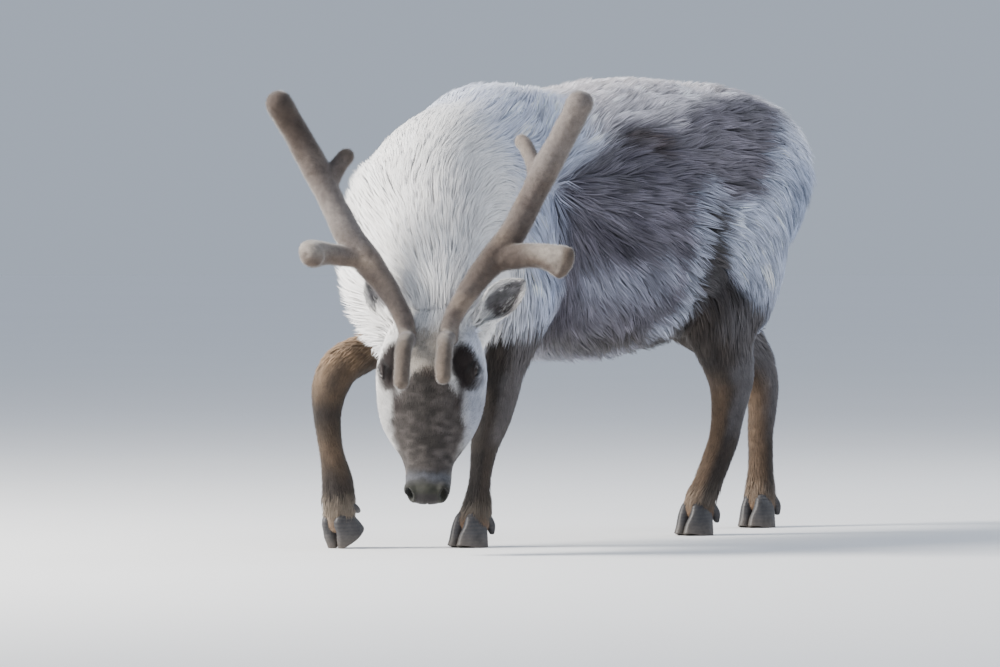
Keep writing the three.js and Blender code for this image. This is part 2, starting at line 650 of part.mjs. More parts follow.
// Each antler is parted at its forks: brow tine, lower beam, bez tine, upper beam and back tine.
for (const [side, which] of [[1, "left"], [-1, "right"]]) {
  const place = (x, y, z) => new THREE.Vector3(side * x, y, z).applyMatrix4(headFrame).toArray();
  const heading = (x, y, z) => new THREE.Vector3(side * x, y, z).transformDirection(headFrame).toArray();
  const horn = antler(side, TINES[which]).subtract(around);
  const [brow, aboveBrow] = partAt(horn, place(37, 34, 72), heading(0, -0.2, 1), 110, 60);
  const [bez, noBez] = partAt(aboveBrow, place(154, 203, 64), heading(0.92, -0.1, 0.4), 140, 52);
  const [back, stem] = partAt(noBez, place(192, 372, 48), heading(-0.75, 0.6, -0.2), 70, 32);
  const [upper, lower] = partAt(stem, place(140, 240, 46), heading(0.4, 1, 0));
  addNode(`antler_${which}_brow_tine`, brow, "velvet");
  addNode(`antler_${which}_bez_tine`, bez, "velvet");
  addNode(`antler_${which}_back_tine`, back, "velvet");
  addNode(`antler_${which}_upper_beam`, upper, "velvet");
  addNode(`antler_${which}_lower_beam`, lower, "velvet");
}

// The origin is under the middle of the animal's box, at the level of its soles.
const extent = new THREE.Box3();
for (const { solid } of nodes) {
  const { min, max } = solid.boundingBox();
  extent.expandByPoint(new THREE.Vector3(...min)).expandByPoint(new THREE.Vector3(...max));
}
const middle = extent.getCenter(new THREE.Vector3());
for (const { name, solid, finish } of nodes) {
  const placed = geometryOf(solid.translate([-middle.x, -middle.y, -extent.min.z]));
  const material = new THREE.MeshStandardMaterial(FINISHES[finish]);
  const mesh = new THREE.Mesh(geometryOf(largest(solidOf(placed))), material);
  mesh.name = name;
  reindeer.add(mesh);
}

export default reindeer;
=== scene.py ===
"""A reindeer at life size, its head lowered and its antlers in velvet: skin, coat, horn and eyes."""

import math

import bpy
import numpy as np
from mathutils import Matrix, Vector
from mathutils.bvhtree import BVHTree
from mathutils.kdtree import KDTree


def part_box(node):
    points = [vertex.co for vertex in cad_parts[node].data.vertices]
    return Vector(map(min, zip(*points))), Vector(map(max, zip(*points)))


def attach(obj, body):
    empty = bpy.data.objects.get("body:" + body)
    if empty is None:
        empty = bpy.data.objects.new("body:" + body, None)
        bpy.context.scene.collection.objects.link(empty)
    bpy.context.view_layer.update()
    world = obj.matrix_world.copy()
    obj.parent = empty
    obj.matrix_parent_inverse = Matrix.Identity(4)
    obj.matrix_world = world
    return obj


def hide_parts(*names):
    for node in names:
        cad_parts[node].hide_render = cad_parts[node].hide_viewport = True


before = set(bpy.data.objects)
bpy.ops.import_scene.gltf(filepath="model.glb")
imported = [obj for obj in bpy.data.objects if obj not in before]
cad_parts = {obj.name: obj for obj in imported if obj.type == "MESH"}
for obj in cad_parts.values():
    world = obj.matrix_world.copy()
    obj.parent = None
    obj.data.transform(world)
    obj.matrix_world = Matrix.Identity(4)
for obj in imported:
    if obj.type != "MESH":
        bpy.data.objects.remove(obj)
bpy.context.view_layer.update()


def detail(full):
    return full


# Sizes in millimetres.
FLOOR_FLAT = 1.2
EYE_RADIUS = 17.0
EYE_PLACE = (78.0, -2.0, 9.0)
HEAD_TURN = 33.0
HEAD_PITCH = 78.0
HOOF_HEIGHT = 46.0
HOOF_REACH = 35.0
HOOF_HALF_WIDTH = 18.0
TOE_DROP = 54.0
CLUMP_SPACING = 26.0
ROOT_SINK = 1.2
SHORT_HAIR = 24
# Where the coat of the body is parted into pieces, from front to back.
COAT_BREAKS = {"neck": (-np.inf, -150), "shoulder": (-150, 150), "flank": (150, 480), "rump": (480, np.inf)}

# In metres: the voxels that the forms are melted together in.
BODY_VOXEL = detail(0.0066)
HEAD_VOXEL = detail(0.0021)
HORN_VOXEL = detail(0.0027)
# The camera: its sensor in millimetres, its distance and the width it sees there in metres.
SENSOR_WIDTH = 36.0
CAMERA_AWAY = 20.0
VIEW_WIDTH = 1.91

# Plain numbers: shares of the tufts, the tufts' spread on the unwrap and the seeds of what is strewn.
COAT_DENSITY = detail(1.0)
PILE_DENSITY = detail(0.42)
BAKE_PATCH = 0.003
COAT_SEED = 20
PILE_SEED = 8

LEFT = np.array([1.0, 0.0, 0.0])
UP = np.array([0.0, 0.0, 1.0])
DOWN = -UP
FACE = np.array([0.0, 0.0, 1.0])

# Stations of [x, y, z, half-width, above or behind, below or before].
TRUNK = [
    [0, -212, 560, 50, 50, 50],
    [0, -192, 575, 108, 140, 120],
    [0, -140, 592, 150, 225, 182],
    [0, -60, 600, 174, 276, 215],
    [0, 20, 592, 188, 292, 228],
    [0, 100, 580, 200, 293, 222],
    [0, 190, 575, 211, 295, 222],
    [0, 290, 580, 216, 304, 226],
    [0, 400, 595, 215, 302, 226],
    [0, 500, 615, 208, 284, 218],
    [0, 580, 632, 200, 264, 204],
    [0, 660, 655, 192, 236, 188],
    [0, 740, 672, 176, 208, 164],
    [0, 805, 690, 147, 172, 150],
    [0, 852, 696, 118, 138, 120],
    [0, 884, 700, 80, 86, 74],
    [0, 898, 702, 30, 32, 28],
]
NECK = [
    [212, -432, 396, 60, 52, 66],
    [196, -412, 414, 92, 80, 94],
    [168, -388, 440, 122, 108, 130],
    [132, -356, 472, 146, 130, 160],
    [88, -314, 522, 158, 146, 184],
    [48, -252, 584, 162, 172, 200],
    [16, -165, 636, 168, 206, 210],
    [0, -70, 644, 164, 225, 208],
    [0, 0, 630, 120, 190, 180],
]
LEGS = {
    "foreleg_left": [
        [118, -20, 590, 50, 90, 85],
        [126, -45, 500, 60, 92, 86],
        [122, -72, 420, 54, 70, 66],
        [115, -94, 350, 43, 50, 48],
        [109, -106, 290, 37, 41, 40],
        [104, -124, 240, 36, 39, 39],
        [99, -138, 200, 30, 34, 32],
        [94, -143, 155, 25, 27, 26],
        [89, -144, 118, 24, 27, 25],
        [85, -145, 86, 28, 32, 28],
        [82, -149, 56, 32, 36, 32],
        [79, -158, 30, 34, 34, 34],
    ],
    "foreleg_right": [
        [-116, -10, 570, 50, 95, 90],
        [-124, -70, 466, 60, 80, 80],
        [-123, -150, 398, 50, 54, 54],
        [-117, -240, 366, 41, 43, 42],
        [-110, -313, 343, 38, 40, 40],
        [-104, -355, 304, 36, 40, 39],
        [-100, -367, 262, 30, 33, 32],
        [-96, -367, 215, 26, 29, 28],
        [-91, -362, 172, 26, 30, 28],
        [-87, -356, 136, 31, 37, 31],
        [-86, -352, 106, 34, 38, 33],
        [-85, -352, 78, 34, 35, 34],
    ],
    "hindleg_left": [
        [84, 690, 710, 60, 110, 120],
        [110, 660, 620, 76, 112, 142],
        [123, 614, 515, 68, 118, 134],
        [131, 562, 432, 57, 114, 116],
        [126, 572, 370, 47, 62, 74],
        [119, 592, 332, 43, 56, 64],
        [112, 606, 298, 39, 61, 54],
        [105, 612, 262, 35, 45, 47],
        [98, 612, 224, 32, 38, 39],
        [92, 609, 186, 31, 35, 35],
        [86, 592, 144, 30, 34, 34],
        [81, 572, 104, 30, 34, 32],
        [78, 552, 66, 32, 34, 32],
        [75, 545, 38, 33, 33, 33],
    ],
    "hindleg_right": [
        [-80, 700, 720, 60, 130, 120],
        [-116, 716, 610, 80, 140, 150],
        [-128, 750, 515, 72, 120, 128],
        [-124, 800, 440, 58, 88, 92],
        [-112, 888, 386, 48, 60, 66],
        [-98, 942, 334, 41, 50, 50],
        [-88, 962, 288, 36, 43, 42],
        [-80, 956, 240, 31, 36, 35],
        [-74, 942, 190, 28, 32, 31],
        [-69, 936, 142, 27, 31, 29],
        [-65, 930, 100, 29, 33, 30],
        [-62, 924, 64, 32, 35, 32],
        [-59, 918, 36, 33, 33, 33],
    ],
}
TAIL = [
    [0, 852, 782, 24, 26, 26],
    [0, 884, 760, 31, 28, 26],
    [0, 903, 722, 36, 26, 26],
    [0, 908, 682, 34, 22, 24],
    [0, 904, 644, 22, 14, 16],
    [0, 899, 616, 5, 4, 4],
]
# In the head's frame: the origin midway between the eyes, -Y to the nose, +Z out of the face.
SKULL = [
    [0, -248, -22, 18, 14, 12],
    [0, -243, -20, 34, 25, 22],
    [0, -228, -18, 42, 32, 28],
    [0, -206, -18, 44, 35, 32],
    [0, -182, -20, 45, 38, 36],
    [0, -160, -23, 54, 42, 42],
    [0, -134, -26, 73, 48, 50],
    [0, -104, -28, 89, 55, 60],
    [0, -70, -30, 100, 64, 72],
    [0, -34, -32, 104, 76, 84],
    [0, 4, -34, 106, 84, 93],
    [0, 44, -36, 99, 84, 94],
    [0, 82, -37, 84, 74, 84],
    [0, 112, -38, 62, 54, 62],
]
# The antlers' stations are [x, y, z, half-width, half-depth where it differs].
BEAM = [
    [37, 56, 38, 19],
    [42, 78, 45, 19.5],
    [54, 104, 48, 20.5],
    [84, 154, 48, 24],
    [123, 205, 46, 29],
    [147, 238, 45, 28],
    [165, 269, 46, 27],
    [191, 322, 50, 26],
    [214, 368, 58, 28],
    [238, 410, 72, 27],
    [263, 452, 92, 26],
    [281, 482, 110, 27],
]
BROW_REACH = {"left": -34, "right": -44}
TINES = {
    "left": {
        "bez": [
            [118, 200, 46, 24, 28],
            [158, 203, 62, 23, 26],
            [198, 202, 82, 22, 25],
            [236, 192, 104, 19, 29],
            [258, 182, 114, 18, 34],
        ],
        "back": [[204, 350, 54, 24], [190, 388, 44, 17], [174, 418, 34, 16], [167, 428, 30, 16]],
    },
    "right": {
        "bez": [
            [118, 200, 46, 24],
            [152, 204, 60, 22],
            [186, 204, 84, 22],
            [206, 199, 110, 24, 27],
            [212, 195, 126, 24, 29],
        ],
        "back": [[200, 334, 52, 25], [184, 366, 46, 20], [170, 388, 40, 18], [163, 398, 36, 18]],
    },
}
EARS = {
    "left": {"root": (74, 86, -34), "tip": (172, 172, -10), "facing": (0.25, -0.3, 1.0)},
    "right": {"root": (-74, 86, -34), "tip": (-126, 176, -16), "facing": (-0.5, -0.2, 1.0)},
}
FEET = {
    "foreleg_left": {"at": (78, -154, HOOF_HEIGHT), "turn": -4, "tilt": 0, "sole": HOOF_HEIGHT + 2},
    "foreleg_right": {"at": (-84, -353, TOE_DROP), "turn": 4, "tilt": 52, "sole": 37},
    "hindleg_left": {"at": (75, 546, HOOF_HEIGHT), "turn": -3, "tilt": 0, "sole": HOOF_HEIGHT + 2},
    "hindleg_right": {"at": (-59, 918, HOOF_HEIGHT), "turn": 4, "tilt": 0, "sole": HOOF_HEIGHT + 2},
}


# Small sums.

def unit(v):
    v = np.asarray(v, float)
    return v / np.maximum(np.linalg.norm(v, axis=-1, keepdims=True), 1e-9)


def dot(a, b):
    return (a * b).sum(-1, keepdims=True)


def ease(low, high, x):
    """0 below low, 1 above high, smooth between; with low above high it falls from 1 to 0 instead."""
    f = np.clip((x - low) / (high - low), 0, 1)
    return f * f * (3 - 2 * f)


def peak(x):
    """1 at 0, falling to 0 on both sides within about 2."""
    return np.exp(-(x**2))


def mound(points, centre, reach):
    """1 at centre, falling to 0 about `reach` away, which may be one size or three."""
    d = (points - np.asarray(centre, float)) / np.asarray(reach, float)
    return np.exp(-(d * d).sum(-1) * 1.6)


def turn(axis, degrees):
    return np.array(Matrix.Rotation(math.radians(degrees), 3, axis))


def placed(points, rotation, origin):
    return np.asarray(points, float) @ rotation.T + np.asarray(origin, float)


HEAD_TURNED = turn("Z", HEAD_TURN) @ turn("X", HEAD_PITCH)
HEAD_ORIGIN = np.array([229.0, -462.0, 346.0])


def from_head(points):
    return placed(points, HEAD_TURNED, HEAD_ORIGIN)


def to_head(points):
    return (np.asarray(points, float) - HEAD_ORIGIN) @ HEAD_TURNED


def grain(points, size, seed=0):
    """Smooth noise from -1 to 1 that changes over about `size` millimetres."""
    p = np.asarray(points, float) / size + 37.2 * seed
    cell = np.floor(p).astype(np.int64)
    f = p - cell
    f = f * f * (3 - 2 * f)
    total = 0
    for corner in range(8):
        step = np.array([corner & 1, corner >> 1 & 1, corner >> 2 & 1])
        c = cell + step
        h = (c[:, 0] * 73856093) ^ (c[:, 1] * 19349663) ^ (c[:, 2] * 83492791) ^ (seed * 2654435)
        h = (h ^ (h >> 13)) * 1274126177 & 0x7FFFFFFF
        h = ((h ^ (h >> 16)) & 0xFFFF) / 32767.5 - 1
        total = total + h * np.where(step, f, 1 - f).prod(-1)
    return total


def eye_place(side):
    return np.array(EYE_PLACE) * [side, 1, 1]


def gape(y):
    """The height of the mouth's line in the head's frame."""
    return -35 + 0.0011 * (y + 250) ** 2


def eye_ball_points():
    """The corners of the eye's solid."""
    u, v = np.meshgrid(np.arange(10) / 9 * 2 * np.pi, np.arange(7) / 6 * np.pi)
    ball = np.stack([-np.cos(u) * np.sin(v), np.cos(v), np.sin(u) * np.sin(v)], -1).reshape(-1, 3)
    return from_head(ball * EYE_RADIUS + EYE_PLACE)


# The eye's solid gives the shift from the animal's own frame, in millimetres, to the frame of the row.
low, high = (np.array(corner) * 1000 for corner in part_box("eye_left"))
eye_points = eye_ball_points()
SHIFT = (low + high) / 2 - (eye_points.min(0) + eye_points.max(0)) / 2


def in_row(points):
    return (np.asarray(points, float) + SHIFT) / 1000


# Lofts.

def station_at(stations, t):
    s = np.asarray(stations, float)
    last = len(s) - 1
    held = np.clip(np.asarray(t, float), 0, last)
    i = np.minimum(held.astype(int), last - 1)
    a, b, c, d = (s[np.clip(i + k, 0, last)] for k in (-1, 0, 1, 2))
    f = (held - i)[..., None]
    return 0.5 * (2 * b + (c - a) * f + (2 * a - 5 * b + 4 * c - d) * f**2 + (3 * b - a - 3 * c + d) * f**3)


def run_at(stations, t):
    """How far and which way the middle line runs over one station about t."""
    return (station_at(stations, t + 0.5) - station_at(stations, t - 0.5))[..., :3]


def frame_at(stations, t, side=LEFT):
    """Centre and sizes, the way the tube runs, its side and its up."""
    way = unit(run_at(stations, t))
    across = unit(side - way * dot(way, side))
    return station_at(stations, t), way, across, np.cross(across, way)


def bands(rows, n, flip=False):
    """The faces between rows of n points round a form, wound the other way with `flip`."""
    faces = []
    for i in range(rows - 1):
        for k in range(n):
            a, b = i * n + k, i * n + (k + 1) % n
            faces.append((a, a + n, b + n, b) if flip else (a, b, b + n, a + n))
    return faces


def closed_bands(rows, n):
    return bands(rows, n) + [tuple(range(n))[::-1], tuple(range((rows - 1) * n, rows * n))]


def tube(stations, side=LEFT, sides=40, steps=6, square=1.0, inset=0.0, to=None):
    """A closed tube as (points, faces), drawn in by `inset`, a size or a function of the station."""
    rows = (len(stations) - 1) * steps + 1
    t = np.arange(rows) / steps
    depth = inset(t) if callable(inset) else np.full(t.shape, float(inset))
    here, way, across, up = frame_at(stations, t, side)
    angle = 2 * np.pi * (np.arange(sides) + 0.5) / sides
    c, s = np.cos(angle), np.sin(angle)
    c, s = np.sign(c) * abs(c) ** square, np.sign(s) * abs(s) ** square
    half, above, below = np.maximum(here[:, 3:6] - depth[:, None], 1.5).T[..., None]
    points = here[:, None, :3] + across[:, None] * (half * c)[..., None]
    points = points + up[:, None] * (np.where(s > 0, above, below) * s)[..., None]
    points[0] += way[0] * depth[0]
    points[-1] -= way[-1] * depth[-1]
    points = points.reshape(-1, 3)
    return (points if to is None else to(points)), closed_bands(rows, sides)


def ball(centre, axes, rings=24, to=None):
    u, v = np.meshgrid(np.arange(2 * rings) / rings * np.pi, np.arange(1, rings) / rings * np.pi)
    points = np.stack([np.cos(u) * np.sin(v), np.sin(u) * np.sin(v), np.cos(v)], -1).reshape(-1, 3)
    points = np.vstack([points, [0, 0, 1], [0, 0, -1]]) * axes + centre
    n, rows = 2 * rings, rings - 1
    faces = bands(rows, n, flip=True)
    faces += [(rows * n, k, (k + 1) % n) for k in range(n)]
    faces += [(rows * n + 1, (rows - 1) * n + (k + 1) % n, (rows - 1) * n + k) for k in range(n)]
    return (points if to is None else to(points)), faces


def joined(pieces):
    points, faces, start = [], [], 0
    for p, f in pieces:
        points.append(p)
        faces += [tuple(start + i for i in face) for face in f]
        start += len(p)
    return np.vstack(points), faces


def rounded(stations):
    """Round stations of [x, y, z, half-width, half-depth where it differs], their end closed like a thumb."""
    s = [[*row[:4], row[-1], row[-1]] for row in stations]
    end, sizes = np.array(s[-1][:3], float), s[-1][3:]
    way = unit(end - s[-2][:3])
    for ahead, shrink in ((0.45, 0.9), (0.8, 0.62), (0.97, 0.25)):
        s.append([*(end + way * ahead * sizes[0]), *(size * shrink for size in sizes)])
    return s


# Meshes.

def added(name, data):
    obj = bpy.data.objects.new(name, data)
    bpy.context.scene.collection.objects.link(obj)
    return obj


def mesh_object(name, points, faces):
    """A mesh object from points in the animal's frame and faces, as lists or as an array of triangles."""
    mesh = bpy.data.meshes.new(name)
    co = in_row(points).astype(np.float32)
    if isinstance(faces, np.ndarray):
        mesh.vertices.add(len(co))
        mesh.vertices.foreach_set("co", co.ravel())
        mesh.loops.add(faces.size)
        mesh.loops.foreach_set("vertex_index", faces.astype(np.int32).ravel())
        mesh.polygons.add(len(faces))
        mesh.polygons.foreach_set("loop_start", np.arange(0, faces.size, faces.shape[1], dtype=np.int32))
        mesh.update(calc_edges=True)
    else:
        mesh.from_pydata(co.tolist(), [], faces)
    mesh.polygons.foreach_set("use_smooth", np.full(len(mesh.polygons), True))
    mesh.update()
    return added(name, mesh)


def changed(obj, kind, **settings):
    """obj with one modifier's result applied to its mesh."""
    modifier = obj.modifiers.new(kind.lower(), kind)
    for key, value in settings.items():
        setattr(modifier, key, value)
    bpy.context.view_layer.update()
    result = bpy.data.meshes.new_from_object(obj.evaluated_get(bpy.context.evaluated_depsgraph_get()))
    obj.modifiers.clear()
    old = obj.data
    obj.data = result
    bpy.data.meshes.remove(old)
    return obj


def points_of(obj):
    co = np.empty(len(obj.data.vertices) * 3, np.float32)
    obj.data.vertices.foreach_get("co", co)
    return co.reshape(-1, 3).astype(float) * 1000 - SHIFT


def set_points(obj, points):
    obj.data.vertices.foreach_set("co", in_row(points).astype(np.float32).ravel())
    obj.data.update()


def normals_of(obj):
    n = np.empty(len(obj.data.vertices) * 3, np.float32)
    obj.data.vertices.foreach_get("normal", n)
    return n.reshape(-1, 3).astype(float)


def triangles_of(obj):
    obj.data.calc_loop_triangles()
    t = np.empty(len(obj.data.loop_triangles) * 3, np.int32)
    obj.data.loop_triangles.foreach_get("vertices", t)
    return t.reshape(-1, 3)


def paint(obj, colours, name="marking"):
    """Sets one colour for each point, given as linear red, green and blue."""
    layer = obj.data.color_attributes.new(name, "FLOAT_COLOR", "POINT")
    rgba = np.ones((len(colours), 4), np.float32)
    rgba[:, :3] = colours
    layer.data.foreach_set("color", rgba.ravel())


def measure(obj, values, name):
    layer = obj.data.attributes.new(name, "FLOAT", "POINT")
    layer.data.foreach_set("value", np.asarray(values, np.float32))


# Where a point lies on the body.

def trunk_depth(t):
    return 15 + 2 * ease(13, 16, t)


def neck_depth(t):
    return 26 * np.minimum(1, 0.2 + 0.3 * np.asarray(t, float))


def leg_depth(t):
    return 4 + 10 * ease(4.2, 1.6, t)


def skull_depth(t):
    return 2 + 5 * ease(6, 12, t)


def tail_depth(t):
    return np.full(np.shape(t), 10.0)


PARTS = {
    "trunk": dict(stations=TRUNK, square=0.94, depth=trunk_depth, samples=90),
    "neck": dict(stations=NECK, square=1.0, depth=neck_depth, samples=60),
    "skull": dict(stations=SKULL, square=0.96, depth=skull_depth, samples=60),
    "tail": dict(stations=TAIL, square=1.0, depth=tail_depth, samples=24),
}
for leg, stations in LEGS.items():
    PARTS[leg] = dict(stations=stations, square=1.0, depth=leg_depth, samples=60)
ATLAS = {  # each part's patch of the unwrap: left, bottom, width, height
    "trunk": (0.0, 0.0, 0.62, 0.5),
    "neck": (0.0, 0.52, 0.4, 0.3),
    "skull": (0.42, 0.52, 0.3, 0.3),
    "tail": (0.74, 0.52, 0.1, 0.1),
    "foreleg_left": (0.64, 0.0, 0.16, 0.24),
    "foreleg_right": (0.82, 0.0, 0.16, 0.24),
    "hindleg_left": (0.64, 0.26, 0.16, 0.24),
    "hindleg_right": (0.82, 0.26, 0.16, 0.24),
    "ear_left": (0.0, 0.84, 0.2, 0.14),
    "ear_right": (0.22, 0.84, 0.2, 0.14),
    "antler_left": (0.44, 0.84, 0.26, 0.14),
    "antler_right": (0.72, 0.84, 0.26, 0.14),
}


class Places:
    """For many points: how far each is from every part's middle line, and where along and round it."""

    def __init__(self, points):
        self.points = points
        self.along, self.angle, near = {}, {}, []
        for name, part in PARTS.items():
            stations = part["stations"]
            p = to_head(points) if name == "skull" else points
            t = np.linspace(0, len(stations) - 1, part["samples"])
            best, closest = np.full(len(p), 1e18), np.zeros(len(p), int)
            for j, centre in enumerate(station_at(stations, t)[:, :3]):
                d = ((p - centre) ** 2).sum(-1)
                closer = d < best
                best[closer] = d[closer]
                closest[closer] = j
            at = t[closest]
            here, way, across, up = frame_at(stations, at)
            out = p - here[:, :3]
            x, y, ahead = (dot(out, axis)[:, 0] for axis in (across, up, way))
            x, y = x / here[:, 3], y / np.where(y > 0, here[:, 4], here[:, 5])
            step = np.maximum(np.linalg.norm(run_at(stations, at), axis=-1), 1)
            self.along[name] = np.clip(at + ahead / step, 0, len(stations) - 1)
            self.angle[name] = np.arctan2(y, x)
            near.append(np.sqrt(x**2 + y**2 + (ahead / 60) ** 2))
        near = np.stack(near)
        share = np.exp(-7 * (near - near.min(0)))
        self.share = dict(zip(PARTS, share / share.sum(0)))
        self.owner = near.argmin(0)

    def patch(self):
        """The place of each point on the unwrap."""
        uv = np.zeros((len(self.points), 2))
        for j, (name, part) in enumerate(PARTS.items()):
            left, bottom, width, height = ATLAS[name]
            u = left + width * (0.02 + 0.96 * self.along[name] / (len(part["stations"]) - 1))
            v = bottom + height * (0.02 + 0.96 * (self.angle[name] / (2 * np.pi) + 0.5))
            mine = self.owner == j
            uv[mine] = np.stack([u, v], -1)[mine]
        return uv

    def legs(self):
        return sum(self.share[leg] for leg in LEGS)


# The skin under the coat.

def foot_place(leg):
    foot = FEET[leg]
    rotation = turn("Z", foot["turn"]) @ turn("X", foot["tilt"])
    return lambda points: placed(points, rotation, foot["at"])


def ear_frame(ear):
    base, end = np.array(ear["root"], float), np.array(ear["tip"], float)
    way = end - base
    opening = unit(np.array(ear["facing"]) - way * (np.array(ear["facing"]) @ way) / (way @ way))
    return base, way, opening, unit(np.cross(way, opening))


def ear_shell(ear, thick=4.2, cuts=26, rows=40):
    """A long curled leaf, thin all over, closed at its root and open to the front above it."""
    base, way, opening, across = ear_frame(ear)
    t = np.linspace(0, 1, rows)
    half = np.interp(t, [0, 0.12, 0.3, 0.5, 0.66, 0.82, 0.93, 1], [14, 20, 26, 32, 33, 26, 15, 4])
    deep = np.interp(t, [0, 0.2, 0.5, 0.75, 0.9, 1], [15, 16, 15, 11, 7, 3])
    wrap = np.radians(np.interp(t, [0, 0.2, 0.42, 0.62, 0.8, 1], [172, 160, 122, 96, 84, 74]))
    centre = base + way * t[:, None] - opening * (9 * np.sin(np.pi * t) + 2)[:, None]
    f = np.linspace(-1, 1, cuts)
    angle = wrap[:, None] * f
    folds = 1.8 * np.cos(f * 9.5) * np.sin(np.pi * np.clip(t, 0.1, 0.95))[:, None]

    def sheet(draw_in):
        a = np.maximum(half - draw_in, 0.8)[:, None] * np.sin(angle)
        b = np.maximum(deep - draw_in, 0.8)[:, None] * np.cos(angle) - (folds if draw_in else 0)
        return centre[:, None] + across * a[..., None] - opening * b[..., None]

    ring = np.concatenate([sheet(0.0), sheet(thick)[:, ::-1]], 1)
    return from_head(ring.reshape(-1, 3)), closed_bands(*ring.shape[:2])


def head_forms():
    """Brow bones, cheeks, chin, the pad of the nose, nostril wings and the antlers' roots."""
    forms = [
        ball((0, -212, -46), (25, 30, 14), to=from_head),
        ball((0, -224, -4), (33, 20, 18), to=from_head),
        ball((0, -150, 2), (24, 60, 16), to=from_head),
    ]
    for side in (1, -1):
        forms.append(ball((side * 60, 28, 12), (29, 40, 24), to=from_head))
        forms.append(ball((side * 27, -222, -6), (16, 17, 17), to=from_head))
        forms.append(ball((side * 76, -4, 6), (22, 30, 21), to=from_head))
        forms.append(ball((side * 60, -70, -20), (34, 60, 34), to=from_head))
        root = [[side * 36, 16, 12, 23, 23, 23], [side * 37, 44, 33, 21, 21, 21]]
        forms.append(tube(root, sides=24, to=from_head))
    return forms


def lids(h, side):
    """Opens the skin over the eyeball in an almond, with a rim round it."""
    out = unit([side * 0.84, -0.2, 0.5])
    fore = unit(np.array([0, -1.0, 0.06]) - out * (out @ [0, -1.0, 0.06]))
    over = np.cross(fore, out) * side
    d = h - eye_place(side)
    r = np.linalg.norm(d, axis=-1)
    a, b, c = d @ out, d @ fore, d @ over
    c = c + 0.0024 * b * b * np.sign(c)
    m = (abs(b) / 15.0) ** 1.8 + (abs(c) / 8.6) ** 1.8
    near = (a > 0) & (r < 46)
    rim = EYE_RADIUS + 1.4 + 2.4 * peak((m - 1.5) / 0.5)
    w = ease(4.2, 1.5, m)
    wanted = np.where(m < 1, EYE_RADIUS - 4.0, r * (1 - w) + rim * w)
    return np.where(near[:, None], eye_place(side) + d * (wanted / np.maximum(r, 1e-6))[:, None], h)


def carve_face(h, n):
    """Mouth line, lips, nostrils, the groove of the upper lip and the lids, in the head's frame."""
    x, y, z = h.T
    front = ease(-128, -175, y)
    above = z - gape(np.maximum(y, -250))
    lips = (peak((above - 7) / 4.5) + 0.8 * peak((above + 7) / 4.5)) * front
    cleft = peak(x / 1.8) * (y < -224) * (z > -34) * (z < 4)
    h = h + n * (-5.5 * peak(above / 2.4) * front + 1.3 * lips - 1.8 * cleft)[:, None]
    for side in (1, -1):
        d = h - np.array([side * 33, -237, 1])
        inward = unit([-side * 0.4, 0.82, -0.35])
        flat = d - inward * (d @ inward)[:, None]
        tall = unit(np.array([side * 0.35, 0.3, 0.9]))
        tall = unit(tall - inward * (tall @ inward))
        wide = np.cross(inward, tall)
        m = np.hypot(flat @ tall / 12, flat @ wide / 7.5)
        close = abs(d @ inward) < 20
        h = h + inward * (12 * ease(1.1, 0.55, m) * close)[:, None]
        h = h - inward * (2.2 * peak((m - 1.45) / 0.35) * close)[:, None]
        h = lids(h, side)
    x, y, z = h.T
    folds = grain(h * [0.45, 1.4, 1], 10, 5) * ease(66, 50, abs(x)) * ease(0, -30, y) * ease(-205, -185, y)
    return h + n * (1.1 * folds * (z > 0) + 0.6 * grain(h, 14, 25) * (abs(x) < 60))[:, None]


def build_skin():
    pieces = [
        tube(TRUNK, sides=64, square=0.94, inset=trunk_depth),
        tube(NECK, sides=60, inset=neck_depth),
        tube(TAIL, sides=30, inset=tail_depth),
    ]
    for leg, stations in LEGS.items():
        pieces.append(tube(stations, sides=36, inset=leg_depth))
        pieces.append(ball((0, 6, 2), (30, 33, 27), to=foot_place(leg)))
    skin = mesh_object("skin", *joined(pieces))
    changed(skin, "REMESH", mode="VOXEL", voxel_size=BODY_VOXEL)
    changed(skin, "SMOOTH", factor=0.5, iterations=detail(12))

    pieces = [tube(SKULL, sides=72, square=0.96, inset=skull_depth, to=from_head), *head_forms()]
    head = mesh_object("head", *joined(pieces + [ear_shell(ear) for ear in EARS.values()]))
    changed(head, "REMESH", mode="VOXEL", voxel_size=HEAD_VOXEL)
    changed(head, "SMOOTH", factor=0.5, iterations=4)
    set_points(head, from_head(carve_face(to_head(points_of(head)), normals_of(head) @ HEAD_TURNED)))

    changed(skin, "BOOLEAN", operation="UNION", solver="MANIFOLD", object=head)
    bpy.data.objects.remove(head)
    points = points_of(skin)
    points = points + normals_of(skin) * (2.2 * grain(points, 46, 11) * (points[:, 2] > 430))[:, None]
    points[:, 2] = np.maximum(points[:, 2], FLOOR_FLAT + 3)
    set_points(skin, points)
    skin.data.polygons.foreach_set("use_smooth", np.full(len(skin.data.polygons), True))
    skin.data.name = "skin"
    return skin


# Markings, the same on skin and coat.

def tone(red, green, blue):
    c = np.array([red, green, blue]) / 255
    return np.where(c <= 0.04045, c / 12.92, ((c + 0.055) / 1.055) ** 2.4)


